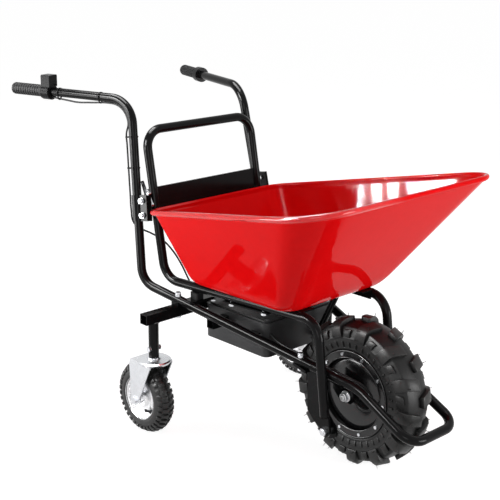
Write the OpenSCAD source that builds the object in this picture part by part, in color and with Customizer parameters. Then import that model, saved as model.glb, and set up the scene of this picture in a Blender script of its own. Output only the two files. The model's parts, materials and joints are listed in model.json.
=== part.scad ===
// Battery wheelbarrow with a tipping tray: one driven wheel in front, two swivel casters behind.
// Millimetres, +X forward, +Y left, +Z up, origin on the ground under the middle of the whole length.

/* [Drive wheel] */
// Diameter of the drive tyre over its lugs
tyre_d = 400; // [396:1:404]
// Width of the drive tyre carcass
tyre_w = 96; // [92:1:98]
// Height of a lug above the carcass
lug_h = 12; // [8:1:14]
// Lugs on each half of the tread
lug_count = 13; // [11:1:14]
// Length of a lug around the tyre
lug_w = 24; // [20:1:28]
// Turn of a lug from straight across
lug_turn = 32; // [24:1:38]
// Outside diameter of the rim flange
rim_d = 236; // [232:1:240]
// Diameter of the motor covers
cover_d = 194; // [188:1:196]
// Diameter of the fixed axle
axle_d = 14; // [12:1:16]
// Screws in each rim flange
screw_count = 10; // [8:1:12]

/* [Chassis] */
// Diameter of the frame tubes
tube_d = 25; // [24:0.5:25.5]
// Wall of the frame tubes
tube_wall = 2; // [1.5:0.25:3]
// Distance from the drive axle back to the rear bend
chassis_back = 606; // [600:1:612]
// Half width at the rear bend
chassis_y = 245; // [242:1:248]
// Height of the rear bend
chassis_z = 402; // [399:1:405]
// Distance from the drive axle forward to the nose bend
nose_x = 58; // [54:1:62]
// Half width at the nose bend
nose_y = 86; // [84:1:87]
// Height of the nose bend
nose_z = 245; // [242:1:248]
// Distance from the drive axle forward to the bumper
bumper_x = 236; // [230:1:244]
// Half width of the bumper
bumper_y = 90; // [86:1:94]
// Height of the bumper
bumper_z = 155; // [148:1:162]
// Bend radius at the rear
rear_r = 60; // [50:1:70]
// Bend radius at the nose bend
nose_r = 150; // [120:5:180]
// Bend radius at the bumper corners
bumper_r = 45; // [36:1:52]

/* [Handles] */
// Distance from the drive axle back to the handle bend
handle_back = 691; // [686:1:696]
// Half width at the handle bend
handle_y = 206; // [203:1:209]
// Height of the handle bars
handle_z = 896; // [880:1:910]
// Distance from the drive axle back to the grip ends
grip_back = 1089; // [1070:1:1110]
// Half width at the grip ends
grip_y = 323; // [312:1:334]
// Bend radius of the handles
handle_r = 75; // [65:1:85]
// Diameter of the grips
grip_d = 34; // [32:0.5:36]
// Length of the grips
grip_len = 112; // [104:1:120]
// Ribs along each grip
grip_ribs = 12; // [8:1:14]

/* [Tray] */
// Rear edge of the tray floor behind the drive axle
floor_back = 462; // [458:1:466]
// Front edge of the tray floor behind the drive axle
floor_front = 95; // [92:1:98]
// Half width of the floor at the rear
floor_rear_y = 200; // [198:1:203]
// Half width of the floor at the front
floor_front_y = 190; // [187:1:193]
// Rear edge of the rim behind the drive axle
rim_back = 580.5; // [579:0.5:584]
// Front edge of the rim ahead of the drive axle
rim_front = 148; // [144:1:152]
// Half width of the rim at the rear
rim_rear_y = 238; // [234:1:242]
// Half width of the rim at the front
rim_front_y = 372; // [366:1:378]
// Height of the rim at the rear
rim_rear_z = 612; // [608:1:616]
// Height of the rim at the front
rim_front_z = 756; // [750:1:762]
// Thickness of the tray sheet
tray_t = 2; // [1.5:0.25:2.5]
// Radius of the rolled rim
roll_r = 5; // [4:0.5:6]

/* [Tray frame] */
// Foot pivot behind the drive axle
pivot_back = 5; // [2:1:8]
// Height of the foot pivot
pivot_z = 123; // [120:1:126]
// Half distance between the two legs
leg_y = 133; // [133:0.5:135]
// Front bend of the frame behind the drive axle
knee_back = 43; // [40:1:46]
// Height of the rails
rail_z = 410; // [408:0.5:412]
// Rear bend of the rails behind the drive axle
rail_back = 565; // [562:1:568]
// Half width of the frame at the rear
loop_y = 195; // [193:1:197]
// Top of the push loop behind the drive axle
loop_back = 645; // [641:1:649]
// Height of the push loop
loop_z = 816; // [808:1:824]
// Bend radius of the tray frame
frame_r = 58; // [52:1:62]

/* [Casters] */
// Swivel axis behind the drive axle
caster_back = 486; // [484:1:488]
// Half distance between the swivel axes
caster_y = 304; // [300:1:308]
// Distance the wheel trails behind the swivel axis
caster_trail = 36; // [33:1:40]
// Diameter of a caster tyre
caster_d = 206; // [202:1:208]
// Width of a caster tyre
caster_w = 62; // [58:1:64]
// Diameter of a caster rim
caster_rim_d = 124; // [118:1:128]
// Tread bars around a caster tyre
caster_bars = 30; // [24:1:34]
// Side of the square cross bars
bar_s = 28; // [26:1:28]

/* [Battery] */
// Rear face of the battery box behind the drive axle
box_back = 468; // [466:1:470]
// Front face of the battery box behind the drive axle
box_front = 224; // [223:1:228]
// Half width of the battery box
box_y = 134; // [130:1:135]
// Bottom of the battery box
box_z0 = 256; // [252:1:260]
// Top of the battery box under its lid
box_z1 = 344; // [340:1:346]

/* [Hidden] */
$fn = 64;

black_paint = [0.09, 0.09, 0.1];
zinc = [0.75, 0.76, 0.78];
red_paint = [0.8, 0.05, 0.06];
rubber_grey = [0.3, 0.31, 0.32];
rubber_black = [0.12, 0.12, 0.13];
box_grey = [0.36, 0.37, 0.38];
pale_face = [0.8, 0.82, 0.82];

cut_over = 1;
cover_out = 42;
plate_under = 4;
run_gap = 0.05;
body_gap = 0.4;
hole_gap = 0.2;

axle_z = tyre_d / 2;
tube_r = tube_d / 2;
splay = atan((grip_y - handle_y) / (grip_back - handle_back));
grip_rib = 1.5;
rear_reach = grip_back + (grip_d / 2 - grip_rib) * sin(splay);
front_reach = bumper_x + tube_r;
ax = (rear_reach - front_reach) / 2;

function unit(v) = v / norm(v);
function lerp(a, b, t) = a + (b - a) * t;
function flip(p) = [p[0], -p[1], p[2]];
function sided(p, s) = [p[0], s * p[1], p[2]];
function at(x, y, z) = [ax + x, y, z];
function aim(u) = [0, acos(u[2]), atan2(u[1], u[0])];
function steep(e) = abs(e[2]) > 0.999999;
function euler(e1, e2, e3) = !steep(e1) ? [atan2(e2[2], e3[2]), asin(-e1[2]), atan2(e1[1], e1[0])]
  : e1[2] > 0 ? [atan2(-e2[0], e2[1]), -90, 0] : [atan2(e2[0], e2[1]), 90, 0];
function turn(p, i) = acos(unit(p[i] - p[i - 1]) * unit(p[i + 1] - p[i]));
function setback(p, r, i) = i == 0 || i == len(p) - 1 ? 0 : r[i - 1] * tan(turn(p, i) / 2);

module ring2(d, wall) {
  difference() {
    circle(d = d);
    if (wall > 0) circle(d = d - 2 * wall);
  }
}

// Straights run a little into the bends, which are drawn a hair slimmer
lap_len = 0.3;
lap = 0.03;
module run_straight(p, r, i, d, wall) {
  u = unit(p[i + 1] - p[i]);
  s = p[i] + u * (i == 0 ? 0 : setback(p, r, i) - lap_len);
  e = p[i + 1] - u * (i == len(p) - 2 ? 0 : setback(p, r, i + 1) - lap_len);
  translate(s) rotate(aim(u)) linear_extrude(norm(e - s)) ring2(d, wall);
}

module run_bend(p, r, i, d, wall) {
  u1 = unit(p[i] - p[i - 1]);
  u2 = unit(p[i + 1] - p[i]);
  c = p[i] + unit(u2 - u1) * r[i - 1] / cos(turn(p, i) / 2);
  s = p[i] - u1 * setback(p, r, i);
  e1 = unit(s - c);
  translate(c) rotate(euler(e1, u1, cross(e1, u1)))
    rotate_extrude(angle = turn(p, i)) translate([r[i - 1], 0]) ring2(d - 2 * lap, wall > 0 ? wall - 2 * lap : 0);
}

// A bent tube along the points p, with the bend radii r at the inner points
module tube_run(p, r, d, wall) {
  for (i = [0 : len(p) - 2]) run_straight(p, r, i, d, wall);
  for (i = [1 : len(p) - 2]) run_bend(p, r, i, d, wall);
}

module rod(a, b, d) {
  translate(a) rotate(aim(unit(b - a))) cylinder(h = norm(b - a), d = d);
}

module block(lo, hi) {
  translate(lo) cube(hi - lo);
}

module rounded(lx, ly, r) {
  square([lx - 2 * r, ly], center = true);
  square([lx, ly - 2 * r], center = true);
  for (x = [-1, 1], y = [-1, 1]) translate([x * (lx / 2 - r), y * (ly / 2 - r)]) circle(r = r);
}

// Six-sided head or nut standing on z = 0
module hexagon(af, h) {
  linear_extrude(h) circle(d = af / cos(30), $fn = 6);
}

module wheel_axis(x, y, z) {
  translate([ax + x, y, z]) rotate([90, 0, 0]) children();
}

// Frame points
joint_share = 0.41;
chassis_c = at(-chassis_back, chassis_y, chassis_z);
chassis_n = at(nose_x, nose_y, nose_z);
chassis_b = at(bumper_x, bumper_y, bumper_z);
handle_c = at(-handle_back, handle_y, handle_z);
grip_e = at(-grip_back, grip_y, handle_z);
joint_p = lerp(chassis_c, handle_c, joint_share);
chassis_pts = [flip(joint_p), flip(chassis_c), flip(chassis_n), flip(chassis_b), chassis_b, chassis_n, chassis_c, joint_p];
chassis_radii = [rear_r, nose_r, bumper_r, bumper_r, nose_r, rear_r];

function run_share(x) = (ax + x - chassis_c[0]) / (chassis_n[0] - chassis_c[0]);
function run_y(x) = lerp(chassis_c[1], chassis_n[1], run_share(x));
function run_z(x) = lerp(chassis_c[2], chassis_n[2], run_share(x));
run_slope = atan2(chassis_c[2] - chassis_n[2], chassis_n[0] - chassis_c[0]);
run_turn = atan2(chassis_c[1] - chassis_n[1], chassis_n[0] - chassis_c[0]);

module chassis_solid() {
  tube_run(chassis_pts, chassis_radii, tube_d, 0);
}

// Straight sloping part of the chassis on side s, solid, for seats cut to its surface
module run_solid(s) {
  rod(sided(chassis_c, s), sided(chassis_n, s), tube_d);
}

// Bolt sizes
bolt_d = 8;
nut_af = 13;
nut_h = 6.5;
head_h = 5.5;
washer_d = 17;
washer_t = 1.6;

// Cross bar for the casters, under the chassis
bar_seat_t = 3;
bar_wall = 2;
bar_half = 338;
bar_top = run_z(-caster_back) - tube_r / cos(run_slope) - bar_seat_t;
bar_bottom = bar_top - bar_s;
bar_bolt_y = run_y(-caster_back);
head_seat = 3;

module chassis_tube() {
  color(black_paint) difference() {
    tube_run(chassis_pts, chassis_radii, tube_d, tube_wall);
    for (s = [-1, 1]) bar_bolt_hole(s);
    for (s = [-1, 1]) pivot_flange_hole(s);
  }
}

module bar_bolt_hole(s) {
  h = run_z(-caster_back) - bar_bottom + 2 * tube_d;
  translate([ax - caster_back, s * bar_bolt_y, bar_bottom - cut_over - tube_r]) cylinder(h = h, d = bolt_d + 2 * hole_gap);
}

// Handles: upright from the clamp, bend, bar out to the grip
module handle_tube(s) {
  p = [sided(joint_p, s), sided(handle_c, s), sided(bar_end, s)];
  color(black_paint) tube_run(p, [handle_r], tube_d, tube_wall);
}
grip_cap = 5;
bar_dir = unit(grip_e - handle_c);
bar_end = grip_e - bar_dir * (grip_cap + body_gap);
module handle_tube_right() {
  handle_tube(-1);
}
module handle_tube_left() {
  handle_tube(1);
}

// Clamps that join handle and chassis uprights
clamp_len = 72;
clamp_t = 3;
clamp_slit = 1;
flange_t = 4;
flange_x = 46;
clamp_bolt_x = 27;
clamp_bolt_z = 20;
up_dir = unit(handle_c - chassis_c);

module on_upright(s) {
  u = sided(up_dir, s);
  translate(sided(joint_p, s)) rotate([-asin(u[1]), atan2(u[0], u[2]), 0]) children();
}

// One half of a clamp; h = 1 is the half toward +Y
module clamp_half(h) {
  keep = tube_d + flange_x;
  difference() {
    union() {
      translate([0, 0, -clamp_len / 2]) cylinder(h = clamp_len, r = tube_r + clamp_t);
      block([0, -clamp_slit - flange_t, -clamp_len / 2], [flange_x, clamp_slit + flange_t, clamp_len / 2]);
    }
    translate([0, 0, -clamp_len]) cylinder(h = 2 * clamp_len, r = tube_r);
    block([-keep, h > 0 ? -keep : -clamp_slit, -clamp_len], [keep, h > 0 ? clamp_slit : keep, clamp_len]);
    for (z = [-1, 1]) translate([clamp_bolt_x, 0, z * clamp_bolt_z]) rotate([90, 0, 0])
      cylinder(h = 2 * keep, d = bolt_d + 2 * hole_gap, center = true);
  }
}
module clamp_outer_right() {
  color(black_paint) on_upright(-1) clamp_half(-1);
}
module clamp_inner_right() {
  color(black_paint) on_upright(-1) clamp_half(1);
}
module clamp_outer_left() {
  color(black_paint) on_upright(1) clamp_half(1);
}
module clamp_inner_left() {
  color(black_paint) on_upright(1) clamp_half(-1);
}

// Clamp bolts, nut outward; the right pair also holds the latch plate
latch_t = 3;
module clamp_bolt(s) {
  inner = clamp_slit + flange_t + (s < 0 ? latch_t : 0);
  outer = clamp_slit + flange_t;
  rotate([s * -90, 0, 0]) {
    translate([0, 0, -inner]) cylinder(h = inner + outer + washer_t + nut_h + cut_over, d = bolt_d);
    translate([0, 0, outer]) cylinder(h = washer_t, d = washer_d);
    translate([0, 0, outer + washer_t]) hexagon(nut_af, nut_h);
    translate([0, 0, -inner - head_h]) hexagon(nut_af, head_h);
  }
}
module clamp_bolts() {
  color(zinc) for (s = [-1, 1], z = [-1, 1]) on_upright(s) translate([clamp_bolt_x, 0, z * clamp_bolt_z]) clamp_bolt(s);
}

// Cross bar with the two caster posts welded under it
post_d = 28;
post_wall = 3;
crown_gap = 8;
dish_h = 12;
stem_flange_t = 4;
crown_bottom = caster_d + crown_gap;
dish_top = crown_bottom + dish_h;
post_bottom = dish_top + stem_flange_t;
stem_bolt_z = post_bottom + 24;
module square_tube_y(half, s, wall) {
  difference() {
    cube([s, 2 * half, s], center = true);
    cube([s - 2 * wall, 2 * half + cut_over, s - 2 * wall], center = true);
  }
}
module caster_bar() {
  color(black_paint) difference() {
    union() {
      translate([ax - caster_back, 0, bar_bottom + bar_s / 2]) square_tube_y(bar_half, bar_s, bar_wall);
      for (s = [-1, 1]) translate([ax - caster_back, s * caster_y, post_bottom])
        linear_extrude(bar_bottom + bar_wall - post_bottom) ring2(post_d, post_wall);
      for (s = [-1, 1]) bar_seat(s);
    }
    for (s = [-1, 1]) bar_bolt_hole(s);
    for (s = [-1, 1]) translate([ax - caster_back, s * caster_y, stem_bolt_z]) rotate([90, 0, 0])
      cylinder(h = 2 * post_d, d = bolt_d + 2 * hole_gap, center = true);
  }
}
// Saddle between the bar and the chassis tube, shaped to the tube
module bar_seat(s) {
  difference() {
    translate([ax - caster_back, s * bar_bolt_y, bar_top]) linear_extrude(tube_r) square([bar_s, tube_d], center = true);
    run_solid(s);
  }
}

module bar_bolt(s) {
  top = run_z(-caster_back) + tube_r / cos(run_slope) + head_seat;
  translate([ax - caster_back, s * bar_bolt_y, 0]) {
    translate([0, 0, bar_bottom - washer_t - nut_h - cut_over]) cylinder(h = top - bar_bottom + washer_t + nut_h + cut_over, d = bolt_d);
    translate([0, 0, bar_bottom - washer_t]) cylinder(h = washer_t, d = washer_d);
    translate([0, 0, bar_bottom - washer_t - nut_h]) hexagon(nut_af, nut_h);
    translate([0, 0, top]) hexagon(nut_af, head_h);
  }
  difference() {
    translate([ax - caster_back, s * bar_bolt_y, run_z(-caster_back)]) cylinder(h = tube_r / cos(run_slope) + head_seat, d = washer_d);
    run_solid(s);
    translate([ax - caster_back, s * bar_bolt_y, run_z(-caster_back) - tube_d]) cylinder(h = 2 * tube_d, d = bolt_d);
  }
}
// Heads and nuts shaped to the round post
stem_sink = 2;
module stem_bolt(s) {
  translate([ax - caster_back, s * caster_y, stem_bolt_z]) rotate([s * -90, 0, 0]) {
    translate([0, 0, -post_d / 2 - nut_h]) cylinder(h = post_d + nut_h, d = bolt_d);
    difference() {
      union() {
        translate([0, 0, post_d / 2 - stem_sink]) hexagon(nut_af, head_h + stem_sink);
        translate([0, 0, -post_d / 2 - nut_h]) hexagon(nut_af, nut_h + stem_sink);
      }
      rotate([90, 0, 0]) cylinder(h = 2 * post_d, d = post_d, center = true);
    }
  }
}
module bar_bolts() {
  color(zinc) {
    for (s = [-1, 1]) bar_bolt(s);
    for (s = [-1, 1]) stem_bolt(s);
  }
}

// Caster stem fixed in the post, journal and nut under the fork crown
stem_d = post_d - 2 * post_wall;
journal_d = 16;
stem_len = 60;
stem_flange_d = 36;
stem_nut_h = 6;
stem_nut_af = 24;
module caster_stem(s) {
  color(zinc) translate([ax - caster_back, s * caster_y, 0]) difference() {
    union() {
      translate([0, 0, post_bottom]) cylinder(h = stem_len, d = stem_d);
      translate([0, 0, dish_top + body_gap]) cylinder(h = post_bottom - dish_top - body_gap, d = stem_flange_d);
      translate([0, 0, crown_bottom - body_gap - stem_nut_h]) cylinder(h = dish_top - crown_bottom + stem_nut_h + 2 * body_gap, d = journal_d);
      translate([0, 0, crown_bottom - body_gap - stem_nut_h]) hexagon(stem_nut_af, stem_nut_h);
    }
    translate([0, 0, stem_bolt_z]) rotate([90, 0, 0]) cylinder(h = 2 * post_d, d = bolt_d + 2 * hole_gap, center = true);
  }
}
module caster_stem_right() {
  caster_stem(-1);
}
module caster_stem_left() {
  caster_stem(1);
}

// Axle dropouts: upright plate beside the wheel and a flange up to the chassis tube
drop_in = 58;
drop_t = 6;
drop_back = 46;
drop_fore = 24;
drop_low = 18;
drop_chamfer = 26;
drop_flange_t = 6;
drop_reach = 12;
module dropout(s) {
  top = run_z(-drop_back);
  low = axle_z - drop_low;
  color(black_paint) difference() {
    union() {
      difference() {
        translate(at(0, s > 0 ? drop_in + drop_t : -drop_in, 0)) rotate([90, 0, 0]) linear_extrude(drop_t)
          polygon([[-drop_back, top], [-drop_back, low + drop_chamfer], [-drop_back + drop_chamfer, low],
            [drop_fore - drop_low / 2, low], [drop_fore, low + drop_low / 2], [drop_fore, top]]);
        translate([0, 0, -tube_r]) above_run(s);
      }
      drop_flange(s);
    }
    run_solid(s);
    wheel_axis(0, 0, axle_z) cylinder(h = 2 * bumper_x, d = axle_d + 2 * hole_gap, center = true);
    block(at(-axle_d / 2 - hole_gap, -bumper_x, 0), at(axle_d / 2 + hole_gap, bumper_x, axle_z));
  }
}
module drop_flange(s) {
  y0 = drop_in;
  y1 = run_y(drop_fore) + drop_reach;
  translate(at(0, 0, run_z(0))) rotate([0, run_slope, 0])
    block([-drop_back, s > 0 ? y0 : -y1, -tube_r - drop_flange_t / 2], [drop_fore, s > 0 ? y1 : -y0, -tube_r + drop_flange_t / 2]);
}
module dropout_right() {
  dropout(-1);
}
module dropout_left() {
  dropout(1);
}

axle_half = 81;
axle_nut_af = 21;
axle_nut_h = 10;
axle_washer_d = 30;
axle_washer_t = 2.5;
module drive_axle() {
  color(zinc) wheel_axis(0, 0, axle_z) cylinder(h = 2 * axle_half, d = axle_d, center = true);
}
module axle_nuts() {
  color(zinc) for (s = [0, 180]) wheel_axis(0, 0, axle_z) rotate([s, 0, 0]) difference() {
    union() {
      translate([0, 0, drop_in + drop_t]) cylinder(h = axle_washer_t, d = axle_washer_d);
      translate([0, 0, drop_in + drop_t + axle_washer_t]) hexagon(axle_nut_af, axle_nut_h);
    }
    cylinder(h = 2 * axle_half, d = axle_d, center = true);
  }
}

// Ribbed boot where the motor cable leaves the axle, inside the right dropout
boot_d = 25;
boot_rib = 1.5;
boot_ribs = 4;
boot_gap = 3;
boot_in = cover_out + boot_gap;
module cable_boot() {
  step = (drop_in - boot_in) / (2 * boot_ribs - 1);
  color(rubber_black) wheel_axis(0, 0, axle_z) difference() {
    union() {
      translate([0, 0, boot_in]) cylinder(h = drop_in - boot_in, d = boot_d - 2 * boot_rib);
      for (i = [0 : boot_ribs - 1]) translate([0, 0, boot_in + 2 * i * step]) cylinder(h = step, d = boot_d);
    }
    cylinder(h = 2 * drop_in, d = axle_d);
  }
}

// Pivot plates under the chassis, with a flange bolted to the tube
plate_in = 114;
plate_t = 5;
plate_back = 84;
plate_fore = -22;
plate_r = 24;
plate_low = 152;
flange_back = 122;
flange_fore = 76;
pivot_bolt_x = 106;
pivot_d = 12;
function plate_y(s) = s > 0 ? plate_in : -plate_in - plate_t;
module pivot_plate(s) {
  px = -pivot_back;
  inset_r = plate_r * cos(15);
  color(black_paint) difference() {
    union() {
      translate(at(0, plate_y(s) + plate_t, 0)) rotate([90, 0, 0]) linear_extrude(plate_t) union() {
        translate([px, pivot_z]) circle(r = plate_r);
        polygon([
          [-plate_back, run_z(-plate_back)], [-plate_back, plate_low], [-plate_back + plate_r, pivot_z + plate_r / 4],
          [px - inset_r / 2, pivot_z - inset_r * sin(60)], [px + inset_r * sin(60), pivot_z + inset_r / 2],
          [plate_fore, plate_low + plate_r], [plate_fore, run_z(plate_fore)]]);
      }
      pivot_flange(s);
    }
    run_solid(s);
    above_run(s);
    wheel_axis(-pivot_back, 0, pivot_z) cylinder(h = 2 * bumper_x, d = pivot_d, center = true);
    pivot_flange_hole(s);
  }
}
// Everything above the axis of the chassis run
module above_run(s) {
  translate(at(0, -bumper_x, run_z(0))) rotate([0, run_slope, 0]) block([-2 * bumper_x, 0, 0], [2 * bumper_x, 2 * bumper_x, bumper_x]);
}
module pivot_flange(s) {
  inner = plate_in + plate_t / 2;
  outer = run_y(-pivot_bolt_x) + tube_r;
  translate(at(0, 0, run_z(0))) rotate([0, run_slope, 0]) block(
    [-flange_back, s > 0 ? inner : -outer, -tube_r - plate_t],
    [-flange_fore, s > 0 ? outer : -inner, -tube_r + plate_t / 2]);
}
module pivot_flange_hole(s) {
  translate(at(-pivot_bolt_x, s * run_y(-pivot_bolt_x), run_z(-pivot_bolt_x) - 2 * tube_d)) cylinder(h = 4 * tube_d, d = bolt_d + 2 * hole_gap);
}
module pivot_plate_right() {
  pivot_plate(-1);
}
module pivot_plate_left() {
  pivot_plate(1);
}

// Foot pivots of the tray frame and the bolts of the pivot plates
tab_t = 8;
tab_in = leg_y - tab_t / 2;
tab_out = leg_y + tab_t / 2;
pivot_nut_af = 19;
pivot_nut_h = 9;
pivot_head_h = 7;
bush_d = 20;
module pivot_bolt(s) {
  wheel_axis(-pivot_back, 0, pivot_z) rotate([s > 0 ? 180 : 0, 0, 0]) {
    translate([0, 0, plate_in - pivot_head_h]) cylinder(h = tab_out - plate_in + pivot_head_h + body_gap + pivot_nut_h + cut_over, d = pivot_d);
    translate([0, 0, plate_in - pivot_head_h]) hexagon(pivot_nut_af, pivot_head_h);
    translate([0, 0, plate_in + plate_t]) cylinder(h = tab_in - plate_in - plate_t - body_gap, d = bush_d);
    translate([0, 0, tab_out + body_gap]) hexagon(pivot_nut_af, pivot_nut_h);
  }
}
module flange_bolt(s) {
  x = -pivot_bolt_x;
  drop = tube_r / cos(run_slope);
  low = run_z(x) - drop - plate_t / cos(run_slope) - head_seat;
  difference() {
    union() {
      translate(at(x, s * run_y(x), low - nut_h)) cylinder(h = run_z(x) + drop + head_seat - low + nut_h, d = bolt_d);
      translate(at(x, s * run_y(x), run_z(x))) cylinder(h = drop + head_seat, d = washer_d);
      translate(at(x, s * run_y(x), run_z(x) + drop + head_seat)) hexagon(nut_af, head_h);
      translate(at(x, s * run_y(x), low)) cylinder(h = head_seat + washer_d / 2 * tan(run_slope), d = washer_d);
      translate(at(x, s * run_y(x), low - nut_h)) hexagon(nut_af, nut_h);
    }
    difference() {
      union() {
        run_solid(s);
        pivot_flange(s);
      }
      translate(at(x, s * run_y(x), low - tube_d)) cylinder(h = 4 * tube_d, d = bolt_d + hole_gap);
    }
  }
}
module pivot_bolts() {
  color(zinc) {
    for (s = [-1, 1]) pivot_bolt(s);
    for (s = [-1, 1]) flange_bolt(s);
  }
}

// Bar across the chassis that carries the rear of the tray frame on two rubber pads
rest_back = 448;
rest_w = 36;
rest_over = 6;
pad_l = 30;
pad_w = 26;
rest_z0 = run_z(-rest_back) + tube_r;
rest_half = run_y(-rest_back) + rest_over;
rail_bottom = rail_z - tube_r;
function rail_y(x) = lerp(loop_y, leg_y, (x + rail_back) / (rail_back - knee_back));
pad_y = rail_y(-rest_back);
rest_h = 8;
module rest_bar() {
  color(black_paint) difference() {
    translate(at(-rest_back, 0, rest_z0 - tube_r / 2)) translate([-rest_w / 2, -rest_half, 0]) cube([rest_w, 2 * rest_half, rest_h]);
    for (s = [-1, 1]) run_solid(s);
  }
}
rest_top = rest_z0 - tube_r / 2 + rest_h;
module rest_pads() {
  color(rubber_black) for (s = [-1, 1]) translate(at(-rest_back, s * pad_y, rest_top)) linear_extrude(rail_bottom - body_gap - rest_top)
    rounded(pad_l, pad_w, pad_l / 6);
}

// Battery box, lid, lid screws and cradle
box_r = 18;
lid_h = 12;
lid_lip = 4;
box_len = box_back - box_front;
box_mid = -(box_back + box_front) / 2;
lid_screw_in = 16;
lid_screw_d = 6;
lid_head_d = 12;
lid_head_h = 4;
lid_screw_len = 14;
module lid_spots() {
  for (x = [-1, 1], y = [-1, 1]) translate(at(box_mid + x * (box_len / 2 - lid_screw_in), y * (box_y - lid_screw_in), 0)) children();
}
module battery_box() {
  color(box_grey) difference() {
    translate(at(box_mid, 0, box_z0)) linear_extrude(box_z1 - box_z0) rounded(box_len, 2 * box_y, box_r);
    lid_spots() translate([0, 0, box_z1 - lid_screw_len]) cylinder(h = 2 * lid_screw_len, d = lid_screw_d);
  }
}
module battery_lid() {
  color(box_grey) difference() {
    union() {
      translate(at(box_mid, 0, box_z1)) linear_extrude(lid_h - lid_lip) rounded(box_len + lid_lip, 2 * box_y + lid_lip, box_r + lid_lip / 2);
      translate(at(box_mid, 0, box_z1 + lid_h - lid_lip)) linear_extrude(lid_lip) rounded(box_len - 3 * lid_lip, 2 * box_y - 3 * lid_lip, box_r - lid_lip);
    }
    lid_spots() translate([0, 0, box_z1 - lid_h]) cylinder(h = 3 * lid_h, d = lid_screw_d);
    lid_spots() translate([0, 0, box_z1 + lid_h - lid_lip]) cylinder(h = lid_h, d = lid_head_d);
  }
}
module lid_screws() {
  color(zinc) lid_spots() {
    translate([0, 0, box_z1 - lid_screw_len]) cylinder(h = lid_screw_len + lid_h - lid_lip, d = lid_screw_d);
    translate([0, 0, box_z1 + lid_h - lid_lip]) cylinder(h = lid_head_h, d = lid_head_d);
  }
}
strap_w = 30;
strap_t = 4;
stub_s = 25;
stub_wall = 2;
strap_rear = 383;
strap_fore = 262;
module cradle_stub(x, s) {
  half = (run_y(x) - box_y) / 2;
  difference() {
    translate(at(x, s * (box_y + half), run_z(x) - tube_r / cos(run_slope) - stub_s / 2)) square_tube_y(half, stub_s, stub_wall);
    run_solid(s);
  }
}
module cradle_hanger(x, s) {
  reach = run_y(x);
  difference() {
    block(at(x - strap_w / 2, s > 0 ? box_y : -reach, run_z(x) - strap_t / 2),
      at(x + strap_w / 2, s > 0 ? reach : -box_y, run_z(x) + strap_t / 2));
    run_solid(s);
  }
}
module battery_cradle() {
  color(black_paint) for (s = [-1, 1]) {
    cradle_stub(-strap_rear, s);
    cradle_hanger(-strap_fore, s);
  }
}

// Arm welded under the left tube and the short prop standing on it under the tray
prop_bar_back = 210;
prop_bar_s = 20;
prop_bar_wall = 2;
prop_y = 60;
prop_d = 18;
prop_top_back = 147;
prop_bar_top = run_z(-prop_bar_back) - tube_r / cos(run_slope);
prop_bar_out = run_y(-prop_bar_back);
prop_bar_in = prop_y - prop_d;
tray_seat = 0.1;
floor_z = rail_z + tube_r + tray_seat;
prop_foot = at(-prop_bar_back, prop_y, prop_bar_top);
prop_head = at(-prop_top_back, prop_y, floor_z - body_gap);
module prop_bar() {
  color(black_paint) difference() {
    translate(at(-prop_bar_back, (prop_bar_out + prop_bar_in) / 2, prop_bar_top - prop_bar_s / 2))
      square_tube_y((prop_bar_out - prop_bar_in) / 2, prop_bar_s, prop_bar_wall);
    run_solid(1);
  }
}
module tray_prop() {
  over = unit(prop_head - prop_foot) * prop_d;
  side = [2 * prop_d, prop_d, 2 * prop_d];
  color(black_paint) difference() {
    rod(prop_foot - over, prop_head + over, prop_d);
    block(prop_foot - side, prop_foot + [2 * prop_d, prop_d, 0]);
    block(prop_head - [2 * prop_d, prop_d, 0], prop_head + side);
  }
}

// Grips and controls, drawn along the bar with z toward the grip end and x down
module on_bar(s) {
  translate(sided(grip_e, s)) rotate(aim(sided(bar_dir, s))) children();
}
grip_lip = 4;
grip_lip_t = 5;
module grip_body(bore) {
  step = (grip_len - grip_lip_t) / (2 * grip_ribs + 1);
  difference() {
    union() {
      translate([0, 0, -grip_len]) cylinder(h = grip_len, d = grip_d - 2 * grip_rib);
      translate([0, 0, -grip_len]) cylinder(h = grip_lip_t, d = grip_d + 2 * grip_lip);
      for (i = [1 : grip_ribs]) translate([0, 0, -2 * i * step]) cylinder(h = step, d = grip_d);
    }
    translate([0, 0, -grip_len - cut_over]) cylinder(h = grip_len + cut_over - grip_cap, d = bore);
  }
}
module grip_left() {
  color(rubber_grey) on_bar(1) grip_body(tube_d);
}
module throttle_grip() {
  color(rubber_grey) on_bar(-1) grip_body(tube_d + 2 * run_gap);
}
house_d = 46;
house_len = 26;
house_z = -grip_len - body_gap - house_len;
module bar_ring() {
  difference() {
    cylinder(h = house_len, d = house_d);
    translate([0, 0, -cut_over]) cylinder(h = house_len + 2 * cut_over, d = tube_d);
  }
}
module bar_collar_left() {
  color(rubber_black) on_bar(1) translate([0, 0, house_z]) bar_ring();
}
module throttle_housing() {
  color(rubber_black) on_bar(-1) translate([0, 0, house_z]) bar_ring();
}
// Gauge block standing on the throttle housing, pale face toward the driver, rocker on the inner side
gauge_w = 36;
gauge_len = 30;
gauge_top = 48;
gauge_r = 4;
face_w = 28;
face_t = 1.5;
rock_w = 10;
rock_l = 15;
rock_deep = 6;
rock_out = 2.5;
gauge_z = house_z - gauge_len + house_len;
rock_x = -(gauge_top + house_d / 2) / 2;
rock_z = gauge_z + gauge_len / 2;
module gauge_box() {
  color(rubber_black) on_bar(-1) mirror([0, 1, 0]) difference() {
    translate([-gauge_top / 2, 0, gauge_z]) linear_extrude(gauge_len) rounded(gauge_top, gauge_w, gauge_r);
    translate([0, 0, gauge_z - cut_over]) cylinder(h = gauge_len + 2 * cut_over, d = house_d);
    block([rock_x - rock_w / 2 - body_gap, gauge_w / 2 - rock_deep - body_gap, rock_z - rock_l / 2 - body_gap],
      [rock_x + rock_w / 2 + body_gap, gauge_w, rock_z + rock_l / 2 + body_gap]);
  }
}
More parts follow.
